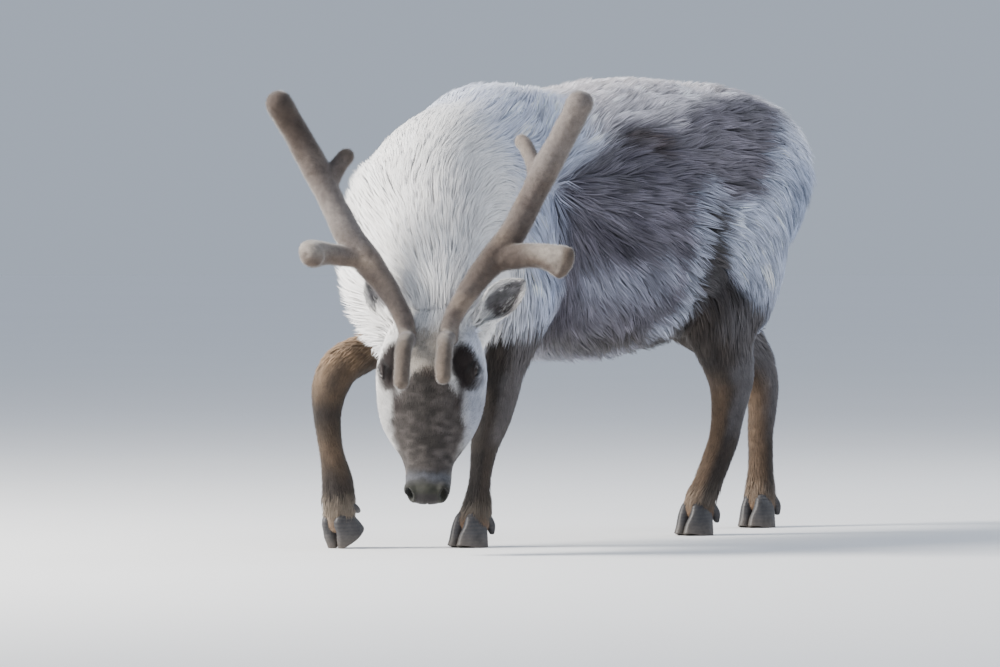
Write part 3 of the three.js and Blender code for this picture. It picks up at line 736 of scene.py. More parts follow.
SNOW = tone(242, 240, 238)
# White coat tinted with painted bluish shade; the darker whites below are made from it.
WHITE_WITH_BLUE_SHADE = tone(204, 211, 231)
# White hair hanging at the front of the shoulder, darker and bluer with painted shade.
HANGING_WHITE_IN_SHADE = WHITE_WITH_BLUE_SHADE * [0.62, 0.66, 0.74]
RUMP_SHADE = WHITE_WITH_BLUE_SHADE * [0.34, 0.38, 0.44]
BACK_PALE = tone(222, 216, 220)
FLANK = tone(112, 108, 118)
FLANK_DARK = tone(66, 62, 72)
FLANK_PALE = tone(168, 172, 190)
CROUP = tone(112, 107, 116)
NOTCH = tone(72, 58, 58)
NECK_GAP_SHADE = tone(92, 88, 98)
SHADED_FRINGE = tone(70, 62, 58)
LEG_DARK = tone(56, 51, 49)
LEG_BROWN = tone(84, 73, 64)
LEG_TAN = tone(136, 113, 90)
LEG_RIM_LIGHT = tone(132, 130, 134)
ANKLE_WHITE = tone(176, 164, 148)
FOREHEAD = tone(168, 156, 140)
BROW_SPOT = tone(60, 48, 42)
PATCH = tone(32, 24, 23)
BRIDGE = tone(62, 57, 54)
BRIDGE_PALE = tone(100, 93, 90)
MUZZLE = tone(66, 65, 62) * 0.42
MUZZLE_BAND = WHITE_WITH_BLUE_SHADE * [0.27, 0.26, 0.25]
NOSE_PAD = tone(66, 66, 57) * [0.36, 0.37, 0.3]
MOUTH = tone(34, 29, 29)
LOWER_LIP = tone(92, 62, 54)
NOSTRIL_SKIN_AND_SHADE = tone(12, 9, 9)
EYE_RIM = tone(20, 15, 14)
EAR_GREY = tone(120, 118, 124)
EAR_BROWN = tone(56, 45, 42)
EAR_EDGE = tone(78, 58, 48)

# Areas on both sides of the body: colour, strength, softness, corners as (y, z).
AREAS = [
    (BACK_PALE, 0.94, 17, [
        (-90, 990), (-90, 850), (0, 800), (60, 776), (108, 758), (150, 770), (200, 792), (240, 802),
        (300, 802), (393, 814), (475, 826), (605, 846), (700, 842), (800, 826), (980, 800), (980, 990)]),
    (CROUP, 0.92, 20, [
        (396, 795), (472, 812), (600, 830), (700, 800), (690, 770), (640, 715), (612, 648), (550, 634),
        (491, 632), (440, 660), (415, 700), (392, 740)]),
    (LEG_DARK, 0.9, 11, [
        (428, 650), (480, 640), (500, 560), (520, 500), (700, 470), (980, 430), (980, 290), (360, 290),
        (378, 430), (400, 520), (424, 600)]),
    (WHITE_WITH_BLUE_SHADE, 0.95, 14, [
        (480, 636), (480, 597), (478, 559), (506, 519), (552, 482), (586, 440), (622, 400), (665, 375),
        (760, 390), (980, 470), (980, 800), (800, 800), (715, 782), (655, 735), (615, 655), (545, 641)]),
]
# Strokes on both sides of the body: colour, strength, reach, path as (x, y, z).
STROKES = [
    (WHITE_WITH_BLUE_SHADE, 0.85, 24, [(183, -24, 690), (183, -8, 680)]),
    (BACK_PALE, 0.45, 13, [(150, 150, 764), (145, 180, 772), (140, 200, 790)]),
    # White of the withers, with painted light making it brighter than the coat's white.
    (SNOW * 1.05, 1.0, 55, [(100, -90, 830), (110, 20, 830)]),
    # Dark flank just under the pale back, with painted shadow under the back's overhanging hair.
    (FLANK_DARK, 0.7, 17, [(150, 70, 712), (165, 130, 722), (170, 200, 734)]),
    (BACK_PALE, 0.7, 15, [(115, 300, 808), (115, 370, 812), (150, 385, 796)]),
    (NOTCH, 0.9, 12, [(145, 236, 762), (146, 252, 776), (152, 276, 780), (168, 310, 772), (178, 334, 756)]),
    (NOTCH, 0.6, 15, [(165, 280, 758), (178, 322, 742)]),
    (WHITE_WITH_BLUE_SHADE, 1.0, 15, [
        (137, 396, 449), (190, 376, 517), (192, 392, 570), (190, 406, 617), (192, 418, 664)]),
    (WHITE_WITH_BLUE_SHADE, 0.85, 14, [(196, 448, 682), (196, 462, 662)]),
    (WHITE_WITH_BLUE_SHADE, 0.7, 18, [(137, 408, 449), (125, 376, 420), (113, 318, 396)]),
    (WHITE_WITH_BLUE_SHADE, 0.4, 15, [(190, 296, 534), (190, 314, 510)]),
    (BACK_PALE, 0.4, 14, [(165, 300, 822), (168, 345, 806)]),
    (FLANK_DARK, 0.6, 20, [(190, 350, 690), (190, 372, 660)]),
    # Dark brown fringe under the belly, darkened further with painted shade.
    (SHADED_FRINGE * 0.55, 1.0, 20, [
        (153, -30, 388), (125, 60, 384), (118, 140, 382), (115, 240, 386), (113, 330, 398)]),
    (SHADED_FRINGE * 0.8, 0.85, 18, [(100, -30, 352), (80, 60, 348), (80, 150, 346), (80, 240, 352)]),
    (WHITE_WITH_BLUE_SHADE, 0.5, 9, [(150, 600, 500), (120, 640, 420), (104, 652, 300)]),
]
STROKE_SCALE = np.array([0.3, 1, 1])
# Painted shade in the gaps between the locks of the neck: place and reach.
NECK_GAP_SHADES = [((58, -152, 808), (9, 9, 17)), ((108, -262, 722), (9, 9, 24)), ((165, -338, 640), (7, 7, 12)),
             ((187, -357, 587), (6, 6, 9)), ((54, -52, 840), (12, 9, 9)), ((46, 22, 848), (20, 12, 9))]
# Where the white of the shoulder ends: heights, and how far back at each.
SHOULDER_EDGE = [400, 490, 560, 630, 670, 690, 710, 734, 760], [-12, -24, -34, -28, -12, 8, 40, 88, 140]
# Half the width of the dark bridge of the nose: places along the face, and the half-width at each.
BRIDGE_HALF = [-200, -185, -162, -105, -60, -35, -12, 6], [42, 47, 55, 70, 62, 48, 28, 10]
# Half the width of the ear's cup along it.
CUP_HALF = [0, 0.3, 0.5, 0.7, 0.9, 1], [20, 28, 32, 31, 17, 7]


def inside(y, z, corners):
    """How far inside a closed outline a place lies, and below 0 how far outside."""
    near, within = np.full(len(y), 1e9), np.zeros(len(y), bool)
    for (ay, az), (by, bz) in zip(corners, corners[1:] + corners[:1]):
        t = np.clip(((y - ay) * (by - ay) + (z - az) * (bz - az)) / ((by - ay) ** 2 + (bz - az) ** 2), 0, 1)
        near = np.minimum(near, np.hypot(y - ay - t * (by - ay), z - az - t * (bz - az)))
        crosses = (az > z) != (bz > z)
        within ^= crosses & (y < ay + (z - az) * (by - ay) / (bz - az if bz != az else 1))
    return np.where(within, near, -near)


def stroke(points, path, reach):
    """1 on a line through the places of `path`, falling to 0 about `reach` beside it."""
    nearest = np.full(len(points), 1e9)
    for a, b in zip(np.array(path[:-1], float), np.array(path[1:], float)):
        t = np.clip((points - a) @ (b - a) / ((b - a) @ (b - a)), 0, 1)
        nearest = np.minimum(nearest, np.linalg.norm(points - a - t[:, None] * (b - a), axis=-1))
    return peak(nearest / reach)


def lay(colour, *coats):
    """The colour with each (shade, how much) laid over it in turn."""
    for shade, share in coats:
        colour = colour + (shade - colour) * np.clip(share, 0, 1)[:, None]
    return colour


def body_marking(points, mottle, fine):
    x, y, z = abs(points[:, 0]), points[:, 1], points[:, 2]
    blur = 16 * grain(points, 55, 1) + 7 * grain(points, 18, 2)
    both_sides = np.stack([x, y, z + 0.25 * blur], -1)
    lower = peak((z - 490 + 0.6 * blur) / 34) * ease(20, 90, y) * ease(350, 260, y)
    colour = lay(np.tile(FLANK, (len(points), 1)),
                 (FLANK_DARK, 0.45 + 0.7 * mottle),
                 (FLANK_PALE, 0.6 * lower),
                 (WHITE_WITH_BLUE_SHADE, 0.35 * ease(392, 366, z + 0.4 * blur) * ease(-20, 60, y)))
    uneven = (0.92 + 0.16 * mottle + 0.08 * fine)[:, None]
    for shade, strength, soft, corners in AREAS:
        depth = inside(y, z, corners) + 0.65 * blur + 0.3 * soft * fine
        colour = lay(colour, (shade * uneven, strength * ease(-soft, soft, depth)))
    colour = lay(colour,
                 (CROUP, 0.4 * ease(0.1, 0.8, mottle) * ease(520, 600, y) * ease(780, 820, z)),
                 (SNOW, 0.5 * ease(760, 850, y + blur) * ease(720, 780, z)),
                 (RUMP_SHADE, 0.8 * ease(650, 760, y + blur) * ease(740, 680, z)),
                 (FLANK_DARK, 0.45 * mound(both_sides, (165, 722, 772), (50, 16, 16))))
    for shade, strength, reach, path in STROKES:
        on_path = stroke(both_sides * STROKE_SCALE, path * STROKE_SCALE, reach)
        colour = lay(colour, (shade, strength * on_path))
    streaks = grain(points * [1, 1, 0.3], 10, 5)
    front = ease(42, -42, y - np.interp(z, *SHOULDER_EDGE) + 0.8 * blur + 26 * streaks) * ease(330, 400, z)
    # Painted shade on the white hair hanging at the front of the shoulder.
    hanging = peak((y + 52) / 44) * ease(700, 620, z) * ease(400, 460, z)
    colour = lay(colour,
                 (WHITE_WITH_BLUE_SHADE, front),
                 (FLANK, 0.3 * front * ease(-60, -10, y) * ease(760, 700, z)),
                 (FLANK_PALE, 0.5 * front * ease(-70, -20, y) * ease(0.0, 0.7, mottle) * ease(520, 620, z)),
                 (HANGING_WHITE_IN_SHADE, 0.6 * hanging * (1 + streaks)),
                 (SNOW, ease(-50, -190, y + 1.5 * blur)))
    # Painted shade between the locks of the neck.
    gap_shades = ((NECK_GAP_SHADE, 0.9 * mound(points, *gap) * (0.75 + 0.4 * fine)) for gap in NECK_GAP_SHADES)
    return lay(colour, *gap_shades)


def leg_marking(points, places, mottle, fine):
    z = points[:, 2]
    blur = 14 * grain(points, 34, 9)
    colour = np.tile(LEG_BROWN, (len(points), 1))
    for name in LEGS:
        mine = places.share[name]
        outward = np.cos(places.angle[name]) * (1 if "left" in name else -1)
        forward = -np.sin(places.angle[name])
        edge = ease(0.55, 1.0, abs(outward) + 0.15 * mottle)
        if name == "foreleg_right":
            high = ease(300, 380, z + blur)
            fore = ease(-0.7, 0.5, forward - 0.2 * outward)
            colour = lay(colour,
                         (LEG_TAN, mine * (0.35 + 0.45 * high + 0.5 * mottle) * fore),
                         (LEG_DARK * 0.7, 0.8 * mine * peak((z - 245 - blur) / 58)),
                         (LEG_DARK * 0.8, 0.9 * mine * peak((z - 110 - blur) / 56)))
        else:
            # Painted shade makes the left foreleg darker than the hind legs; painted rim light makes the
            # sides of these legs paler.
            depth = 0.6 if name == "foreleg_left" else 0.9
            colour = lay(colour,
                         (LEG_DARK * depth, mine * (0.95 + 0.4 * mottle) * (1 - 0.45 * edge)),
                         (LEG_RIM_LIGHT, 0.42 * mine * edge * ease(150, 260, z + 2 * blur)))
        if name.startswith("hind"):
            inner = mine * ease(0.3, 0.9, forward - 0.3 * outward) * ease(340, 260, z)
            colour = lay(colour,
                         (LEG_TAN * [1.0, 0.93, 0.85], 0.38 * inner),
                         (WHITE_WITH_BLUE_SHADE * 0.7, 0.5 * mine * ease(0.55, 0.95, -forward) * ease(120, 180, z)))
    pale = 0.14 + 0.2 * places.share["foreleg_right"]
    colour = lay(colour,
                 (ANKLE_WHITE, pale * ease(100, 66, z + 0.9 * blur)),
                 (LEG_TAN * [1.15, 0.9, 0.7], 0.4 * ease(58, 34, z + 0.4 * blur)))
    return colour * (1 + 0.25 * fine)[:, None]


def face_marking(points, h, fine):
    """The head's colours in its own frame, and where its skin is bare."""
    n = len(points)
    x, y, z = h.T
    hx, flat = abs(x), h * [1, 1, 0]
    wob = 5 * grain(points, 16, 6) + 3 * grain(points, 6, 7)
    waves = grain(h * [0.5, 1.5, 1], 9, 8)
    face = np.tile(SNOW * 0.88, (n, 1)) * (1 + 0.08 * waves)[:, None]
    # Painted shade: the left side of the face bluer and darker.
    face = lay(face, (WHITE_WITH_BLUE_SHADE * 0.92, 0.75 * ease(55, 85, x)))
    # Painted shade: darker towards the nose.
    face = face * (1 - 0.42 * ease(10, -60, y))[:, None]
    crown = ease(56, 34, hx + wob) * ease(-30, 0, y) * ease(95, 60, y)
    bridge = ease(9, -7, hx - np.interp(y, *BRIDGE_HALF) + 0.8 * wob)
    bridge = bridge * ease(6, -16, y + wob) * ease(-216, -196, y + 0.5 * wob)
    shade = lay(np.tile(BRIDGE * 0.78, (n, 1)),
                (BRIDGE_PALE, 0.14 + 0.5 * waves + 0.35 * ease(15, 55, hx)),
                (BRIDGE * 0.6, 0.7 * peak((x - 3 + 0.7 * wob) / 7) * ease(-196, -150, y)),
                (BRIDGE * 0.5, 0.35 * ease(0.15, 0.7, grain(h * [0.5, 1.4, 1], 12, 15))))
    face = lay(face,
               (FOREHEAD * (0.85 + 0.4 * fine)[:, None], 0.8 * crown),
               (shade, bridge),
               (BROW_SPOT, 0.85 * mound(flat, (0, -8, 0), (17, 12, 99))))
    over = z > -50
    hole, rims = np.zeros(n), np.zeros(n)
    for side in (1, -1):
        d = np.hypot((x * side - 70 - 0.14 * (5 - y)) / 25, (y - 4) / 40) + 0.014 * wob
        face = lay(face,
                   (BRIDGE * 1.2, 0.7 * ease(1.25, 1.0, d) * over),
                   (PATCH, ease(1.15, 0.78, d) * over),
                   (PATCH * 1.3, 0.85 * stroke(flat, [(side * 66, -28, 0), (side * 58, -72, 0)], 9) * over),
                   (BRIDGE, 0.45 * stroke(flat, [(side * 60, -96, 0), (side * 52, -150, 0)], 8) * over))
        hole = hole + np.clip(1.8 * mound(h, (side * 34, -233, 1), (10, 17, 13)), 0, 1)
        away = np.linalg.norm(h - eye_place(side), axis=-1)
        rims = np.maximum(rims, ease(EYE_RADIUS + 3.5, EYE_RADIUS + 0.8, away))
    pad = ease(-211, -222, y + 0.4 * wob + 0.1 * hx) * ease(-24, -16, z)
    front = ease(-232, -240, y) * ease(-8, -16, z)
    lips = peak((z - gape(y)) / 4.0) * ease(-135, -165, y)
    lips = np.max([lips, front, ease(-233, -239, y) * ease(25, 17, hx)], 0)
    face = lay(face,
               (MUZZLE, 0.92 * ease(-188, -204, y + wob)),
               (MUZZLE_BAND, 0.45 * peak((y + 203 + wob) / 8) * (z > -20)),
               (SNOW * 0.6, 0.7 * ease(-150, -180, y) * ease(-42, -50, z)),
               (NOSE_PAD * (1 + 0.25 * fine)[:, None], 0.97 * pad),
               (MOUTH, 0.95 * lips),
               (LOWER_LIP, 0.8 * front * ease(-36, -42, z)),
               # Nostrils near black: dark skin with painted shade in the openings.
               (NOSTRIL_SKIN_AND_SHADE, hole),
               (EYE_RIM, rims))
    return face, np.max([pad, rims, np.clip(hole, 0, 1), lips], 0)


def ear_place(h, ear):
    """How far along an ear a point is, how far from its middle line, and across and towards its opening."""
    base, way, opening, across = ear_frame(ear)
    t = np.clip((h - base) @ way / (way @ way), -0.4, 1.3)
    centre = base + way * t[:, None] - opening * (9 * np.sin(np.pi * np.clip(t, 0, 1)) + 2)[:, None]
    d = h - centre
    return t, np.linalg.norm(d, axis=-1), d @ across, d @ opening


def ear_sides(normals, h, ear):
    """How far a point is on the ear, how much inside its cup rather than on its back, and where on it."""
    along, out, across, opening = ear_place(h, ear)
    _, _, facing, sideways = ear_frame(ear)
    away = across[:, None] * sideways + (opening - 4)[:, None] * facing
    inward = -((normals @ HEAD_TURNED) * away).sum(-1) / np.maximum(np.linalg.norm(away, axis=-1), 1)
    return ease(0.02, 0.16, along) * (out < 48), ease(-0.1, 0.35, inward), along, across


def ear_marking(colour, normals, h, fine):
    for ear in EARS.values():
        mine, cup, along, across = ear_sides(normals, h, ear)
        cup = cup * mine * ease(0.3, 0.42, along + 0.05 * fine)
        edge = ease(0.55, 0.9, abs(across) / np.interp(along, *CUP_HALF))
        low = peak((across - 22) / 9) * peak((along - 0.5) / 0.25)
        colour = lay(colour,
                     (SNOW * 0.85, mine * (1 - cup)),
                     (EAR_GREY * (0.5 + 0.5 * fine)[:, None], 0.9 * cup * (1 - edge)),
                     (EAR_BROWN, 0.8 * peak((along - 0.36) / 0.2) * ease(-16, 6, across) * cup * (1 - edge)),
                     (SNOW * 0.8, 0.9 * cup * edge),
                     (EAR_EDGE, 0.9 * low * cup))
    return colour


def marking(points, places):
    """The coat's colour at each point, linear, and how bare and wet the skin is there."""
    x, y, z = points.T
    mottle, fine = grain(points, 30, 3), grain(points, 9, 4)
    h = to_head(points)
    skull = places.share["skull"]
    apron = 45 * ease(0, 60, x) * ease(100, 0, y)
    legs = places.legs() * ease(480, 410, z + apron + 14 * mottle)
    face, bare = face_marking(points, h, fine)
    colour = lay(body_marking(points, mottle, fine),
                 (leg_marking(points, places, mottle, fine), ease(0.25, 0.7, legs)),
                 (face, ease(0.3, 0.7, skull)))
    colour = ear_marking(colour, places.normals, h, fine)
    return np.clip(colour, 0.004, 0.95), np.clip(bare * (skull > 0.4), 0, 1)


# The lie of the coat.

def way_along(name, places):
    way = unit(run_at(PARTS[name]["stations"], places.along[name]))
    return way @ HEAD_TURNED.T if name == "skull" else way


def lie_of(points, normals, places):
    """Which way the hair lies: a unit vector along the skin."""
    x, y, z = points.T
    whorl = points - np.stack([np.sign(x) * 184, np.full(len(x), -8.0), np.full(len(x), 683.0)], -1)
    far = np.linalg.norm(whorl[:, 1:], axis=-1)
    fan = unit(whorl * [0, 1, 1])
    back = np.tile([0.0, 1.0, -0.12], (len(x), 1)) + DOWN * (0.75 * ease(720, 430, z))[:, None]
    trunk = fan * ease(520, 180, far)[:, None] + back * (0.12 + ease(90, 420, far))[:, None]
    hanging = np.array([0.0, 0.12, -1.0])
    trunk = trunk + (hanging - trunk) * (ease(10, -70, y) * ease(790, 690, z))[:, None]
    trunk = trunk + (np.array([0.0, 0.35, -1.0]) - trunk) * ease(600, 740, y - 0.1 * (z - 600))[:, None] * 0.9
    sag = 0.25 + 0.8 * ease(0.6, -0.5, np.sin(places.angle["neck"]))
    neck = way_along("neck", places) + DOWN * sag[:, None]
    h = to_head(points)
    skull = np.array([0.0, 1.0, 0.0]) + np.stack([0 * x, 0 * x, -0.55 * ease(55, 95, abs(h[:, 0]))], -1)
    skull[:, 0] += 0.35 * np.sign(h[:, 0]) * ease(20, 60, abs(h[:, 0]))
    ways = {"trunk": trunk, "neck": neck, "skull": skull @ HEAD_TURNED.T,
            "tail": way_along("tail", places) + 0.3 * DOWN}
    for leg in LEGS:
        ways[leg] = way_along(leg, places) + np.array([0, 0.5, 0.0]) * ease(380, 520, z)[:, None]
    field = sum(way * places.share[name][:, None] for name, way in ways.items())
    for ear in EARS.values():
        along, out, _, _ = ear_place(h, ear)
        on_ear = ease(0.05, 0.25, along) * (out < 40)
        way = unit(ear_frame(ear)[1]) @ HEAD_TURNED.T
        field = field + (way - field) * on_ear[:, None]
    lie = unit(field - normals * dot(field, normals))
    swirl = 0.4 * grain(points, 90, 12) + 0.22 * grain(points, 28, 13)
    swirl = swirl * (1 - 0.6 * places.legs()) * (1 - 0.3 * places.share["skull"])
    across = np.cross(normals, lie)
    return unit(lie * np.cos(swirl)[:, None] + across * np.sin(swirl)[:, None])


# The coat, in tufts.

def growth(points, normals, places):
    """What grows at each point: sizes of the tufts, how dense, how clumped and how varied in tone."""
    y, z = points[:, 1], points[:, 2]
    share, legs = places.share, places.legs()
    h = to_head(points)
    behind, neck = ease(560, 700, y), ease(-60, -150, y)
    length = (62 + 14 * behind * ease(470, 560, z)) * (1 - 0.25 * ease(800, 870, z))
    grown = {
        "length": length,
        "width": np.full(len(points), 2.3),
        "stand": 0.36 * length * (1 - 0.5 * behind * ease(760, 640, z)),
        "cover": np.full(len(points), 4.9),
        "clump": 0.5 - 0.24 * neck,
        "vary": 0.36 - 0.28 * neck,
    }
    throat = share["neck"] * ease(-0.2, 0.7, -np.sin(places.angle["neck"]))
    ruff = neck * ease(0.3, 0.8, normals @ unit([-0.8, -0.55, -0.15])) * share["neck"]
    sleek = neck * ease(0.3, 0.8, normals @ unit([-0.6, -0.48, 0.64])) * ease(680, 750, z)
    fringe = ease(0.45, 0.9, -normals[:, 2]) * (1 - neck) * (1 - legs)
    high = ease(300, 430, z)
    leg_length = 13 + 34 * high + 15 * peak((z - 92) / 26)
    upper, poll = ease(-190, -60, h[:, 1]), ease(40, 90, h[:, 1])
    face_length = 5.5 + 7 * upper + 18 * poll + 9 * ease(62, 92, abs(h[:, 0])) * ease(-100, -40, h[:, 1])
    rules = [
        (neck, dict(length=52, stand=24)),
        (throat, dict(length=80)),
        (ruff, dict(length=78, stand=30)),
        (sleek, dict(length=46, stand=7)),
        (fringe, dict(stand=26)),
        (ease(0.3, 0.8, legs) * ease(560, 470, z),
         dict(length=leg_length, width=1.6 + high, stand=0.2 * leg_length, cover=2.5, clump=0.3, vary=0.2)),
        (ease(0.4, 0.8, share["skull"]),
         dict(length=face_length, width=0.95 + 0.45 * upper + 0.7 * poll, stand=0.2 * face_length, cover=1.8,
              clump=0.2, vary=0.12)),
    ]
    for ear in EARS.values():
        mine, cup, _, _ = ear_sides(normals, h, ear)
        rules.append((mine, dict(length=9 + 5 * cup, width=1, stand=2 + 2 * cup, cover=1.7 - 0.5 * cup,
                                 clump=0.2, vary=0.15)))
    rules.append((share["tail"], dict(length=56, width=2.3, stand=18, cover=4.9, clump=0.4, vary=0.1)))
    for where, aims in rules:
        for key, aim in aims.items():
            grown[key] = grown[key] + (aim - grown[key]) * where
    uneven = 0.92 + 0.16 * grain(points, 25, 30)
    grown["cover"] = grown["cover"] * (1 - places.bare) * ease(FLOOR_FLAT + 4, 26, z) * uneven
    grown["length"] = np.minimum(grown["length"], np.maximum(z - 6, 4))
    return grown


class Hide:
    """A skin as arrays: its points, triangles and normals, and if haired, what grows at each point."""

    def __init__(self, skin, haired=True):
        self.points, self.normals, self.triangles = points_of(skin), normals_of(skin), triangles_of(skin)
        corners = self.points[self.triangles]
        sides = corners[:, 1:] - corners[:, :1]
        self.area = np.linalg.norm(np.cross(sides[:, 0], sides[:, 1]), axis=-1) / 2
        if not haired:
            return
        self.places = Places(self.points)
        self.places.normals = self.normals
        self.colour, self.bare = marking(self.points, self.places)
        self.places.bare = self.bare
        self.lie = lie_of(self.points, self.normals, self.places)
        self.grown = growth(self.points, self.normals, self.places)
        self.patch = self.places.patch()
        self.tree = BVHTree.FromPolygons(self.points.tolist(), self.triangles.tolist())

    def on_faces(self, values, faces, weights):
        return np.einsum("nk,nk...->n...", weights, values[self.triangles[faces]])

    def sow(self, density, rng):
        """Random roots, as triangles and weights of their corners."""
        expected = density[self.triangles].mean(1) * self.area
        counts = rng.poisson(np.maximum(expected, 0))
        faces = np.repeat(np.arange(len(counts)), counts)
        a, b = rng.random(len(faces)), rng.random(len(faces))
        fold = a + b > 1
        a, b = np.where(fold, 1 - a, a), np.where(fold, 1 - b, b)
        return faces, np.stack([1 - a - b, a, b], -1)

    def paths(self, faces, weights, length, steps):
        """Where each tuft runs over the skin: points and normals, one row for each step, and its colours."""
        here = self.on_faces(self.points, faces, weights)
        normal = unit(self.on_faces(self.normals, faces, weights))
        way = self.on_faces(self.lie, faces, weights)
        points, normals, shades = [here], [normal], []
        for _ in range(steps):
            way = unit(way - normal * dot(way, normal))
            ahead = here + way * (length / steps)[:, None]
            found = [self.tree.find_nearest(p) for p in ahead.tolist()]
            here = np.array([f[0] for f in found])
            met = np.array([f[2] for f in found])
            normal = unit(0.4 * normal + 0.6 * self.normals[self.triangles[met, 0]])
            way = 0.35 * way + self.lie[self.triangles[met, 0]]
            points.append(here)
            normals.append(normal)
            shades.append(self.colour[self.triangles[met]].mean(1))
        return np.stack(points, 1), np.stack(normals, 1), shades


def tuft_mesh(name, paths, normals, width, thick, colours, patch, seeds, soft=0.72):
    """Joins tapered tufts of three sides along the given paths into one object."""
    count, rows = paths.shape[:2]
    way = np.gradient(paths, axis=1)
    across = unit(np.cross(way, normals))
    over = unit(np.cross(across, way))
    t = np.linspace(0, 1, rows)
    taper = np.interp(t, [0, 0.3, 0.7, 1], [0.8, 1.0, 0.72, 0.0])[:-1]
    w = (width[:, None] * taper)[..., None] / 2
    k = (thick[:, None] * taper)[..., None]
    p, a, o = paths[:, :-1], across[:, :-1], over[:, :-1]
    rings = np.stack([p - a * w, p + a * w, p + o * k], 2)
    points = np.concatenate([rings.reshape(count, -1, 3), paths[:, -1:]], 1)
    each = points.shape[1]
    faces = []
    for row in range(rows - 2):
        for side in range(3):
            i, j = row * 3 + side, row * 3 + (side + 1) % 3
            faces += [(i, j + 3, j), (i, i + 3, j + 3)]
    last = (rows - 2) * 3
    faces += [(last + side, each - 1, last + (side + 1) % 3) for side in range(3)]
    faces = np.array(faces)[None] + (np.arange(count) * each)[:, None, None]
    obj = mesh_object(name, points.reshape(-1, 3), faces.reshape(-1, 3))
    # The hair shades with the form under it, as soft hair does.
    bed = np.concatenate([np.repeat(normals[:, :-1], 3, 1), normals[:, -1:]], 1).reshape(-1, 3)
    blended = unit(soft * bed + (1 - soft) * normals_of(obj))
    obj.data.normals_split_custom_set_from_vertices(blended.astype(np.float32))
    along = np.concatenate([np.repeat(t[:-1], 3), [1.0]])
    aside = np.concatenate([np.tile([0.0, 1.0, 0.5], rows - 1), [0.5]])
    paint(obj, np.repeat(colours, each, 0))
    measure(obj, np.tile(along, count), "along")
    measure(obj, np.tile(aside, count), "aside")
    measure(obj, np.repeat(seeds, each), "seed")
    spread = np.stack([aside - 0.5, along - 0.5], -1) * BAKE_PATCH
    uv = (patch[:, None] + spread[None]).reshape(-1, 2)
    layer = obj.data.uv_layers.new(name="OFBake")
    layer.data.foreach_set("uv", uv[faces.reshape(-1)].astype(np.float32).ravel())
    return obj


def clumped(paths, clump, rng, spacing):
    """Draws each tuft's tip towards the nearest of some leading tufts; gives its leader too."""
    roots = paths[:, 0]
    bins = np.unique(np.floor(roots / spacing).astype(int), axis=0, return_index=True)[1]
    leaders = np.sort(bins[rng.permutation(len(bins))])
    tree = KDTree(len(leaders))
    for i, k in enumerate(leaders):
        tree.insert(roots[k], i)
    tree.balance()
    nearest = np.array([tree.find(p)[1] for p in roots.tolist()])
    lead = paths[leaders][nearest]
    pull = clump[:, None] * np.linspace(0, 1, paths.shape[1]) ** 1.6
    gap = np.linalg.norm(lead[:, 0] - roots, axis=-1, keepdims=True)
    pull = pull * np.clip(1.6 - gap / spacing, 0, 1)
    return paths + (lead - paths) * pull[..., None], nearest, len(leaders)


def coat_pieces(y, left, on_head, on_leg, short):
    """Which tufts each piece of the coat takes, and in how many steps they bend."""
    on_body = ~on_head & ~on_leg
    sides = (("left", left), ("right", ~left))
    pieces = {"head_coat": (on_head & short, 1), "poll_coat": (on_head & ~short, 2)}
    for label, side in sides:
        pieces["leg_coat_" + label] = on_leg & short & side, 1
    pieces["thigh_coat"] = on_leg & ~short, 2
    for part, (front, back) in COAT_BREAKS.items():
        for label, side in sides:
            pieces[f"{part}_coat_{label}"] = on_body & (y >= front) & (y < back) & side, 2
    return pieces


def grow_coat(hide):
    """All the coat's tufts, sorted into pieces by where they grow."""
    rng = np.random.default_rng(COAT_SEED)
    room = 0.6 * hide.grown["length"] * hide.grown["width"]
    faces, weights = hide.sow(hide.grown["cover"] * COAT_DENSITY / room, rng)
    take = lambda values: hide.on_faces(values, faces, weights)
    grown = {key: take(values) for key, values in hide.grown.items()}
    clump, vary, n = grown["clump"], grown["vary"], len(faces)
    length = grown["length"] * rng.uniform(0.62, 1.18, n)
    stand = grown["stand"] * rng.uniform(0.45, 1.25, n)
    width = grown["width"] * rng.uniform(0.7, 1.25, n)
    tint = np.exp(0.55 * vary * rng.normal(size=n)).clip(0.5, 1.9)[:, None]
    patch, seeds = take(hide.patch), rng.random(n)
    roots, on_head = take(hide.points), take(hide.places.share["skull"]) > 0.5
    on_leg = ~on_head & (take(hide.places.legs()) > 0.5)
    sorts = coat_pieces(roots[:, 1], roots[:, 0] > 0, on_head, on_leg, length < SHORT_HAIR)
    pieces = {}
    for name, (mine, steps) in sorts.items():
        mine = np.flatnonzero(mine)
        paths, normals, shades = hide.paths(faces[mine], weights[mine], length[mine], steps)
        rise = (np.arange(steps + 1) / steps) ** 0.8
        paths = paths + normals * (stand[mine, None] * rise)[..., None]
        paths[:, 0] -= normals[:, 0] * ROOT_SINK
        seen = rng.random(len(mine))[:, None]
        shade = (shades[0] * (1 - seen) + shades[-1] * seen) * tint[mine]
        if steps > 1:
            paths, leader, count = clumped(paths, clump[mine], rng, CLUMP_SPACING)
            together = np.exp(rng.normal(size=count))[leader]
            shade = shade * (together ** (0.6 * vary[mine])).clip(0.5, 1.9)[:, None]
        pieces[name] = tuft_mesh(name, paths, normals, width[mine], width[mine] * 0.5,
                                 np.clip(shade, 0.003, 0.95), patch[mine], seeds[mine])
    return pieces


# Antlers, eyes and claws.

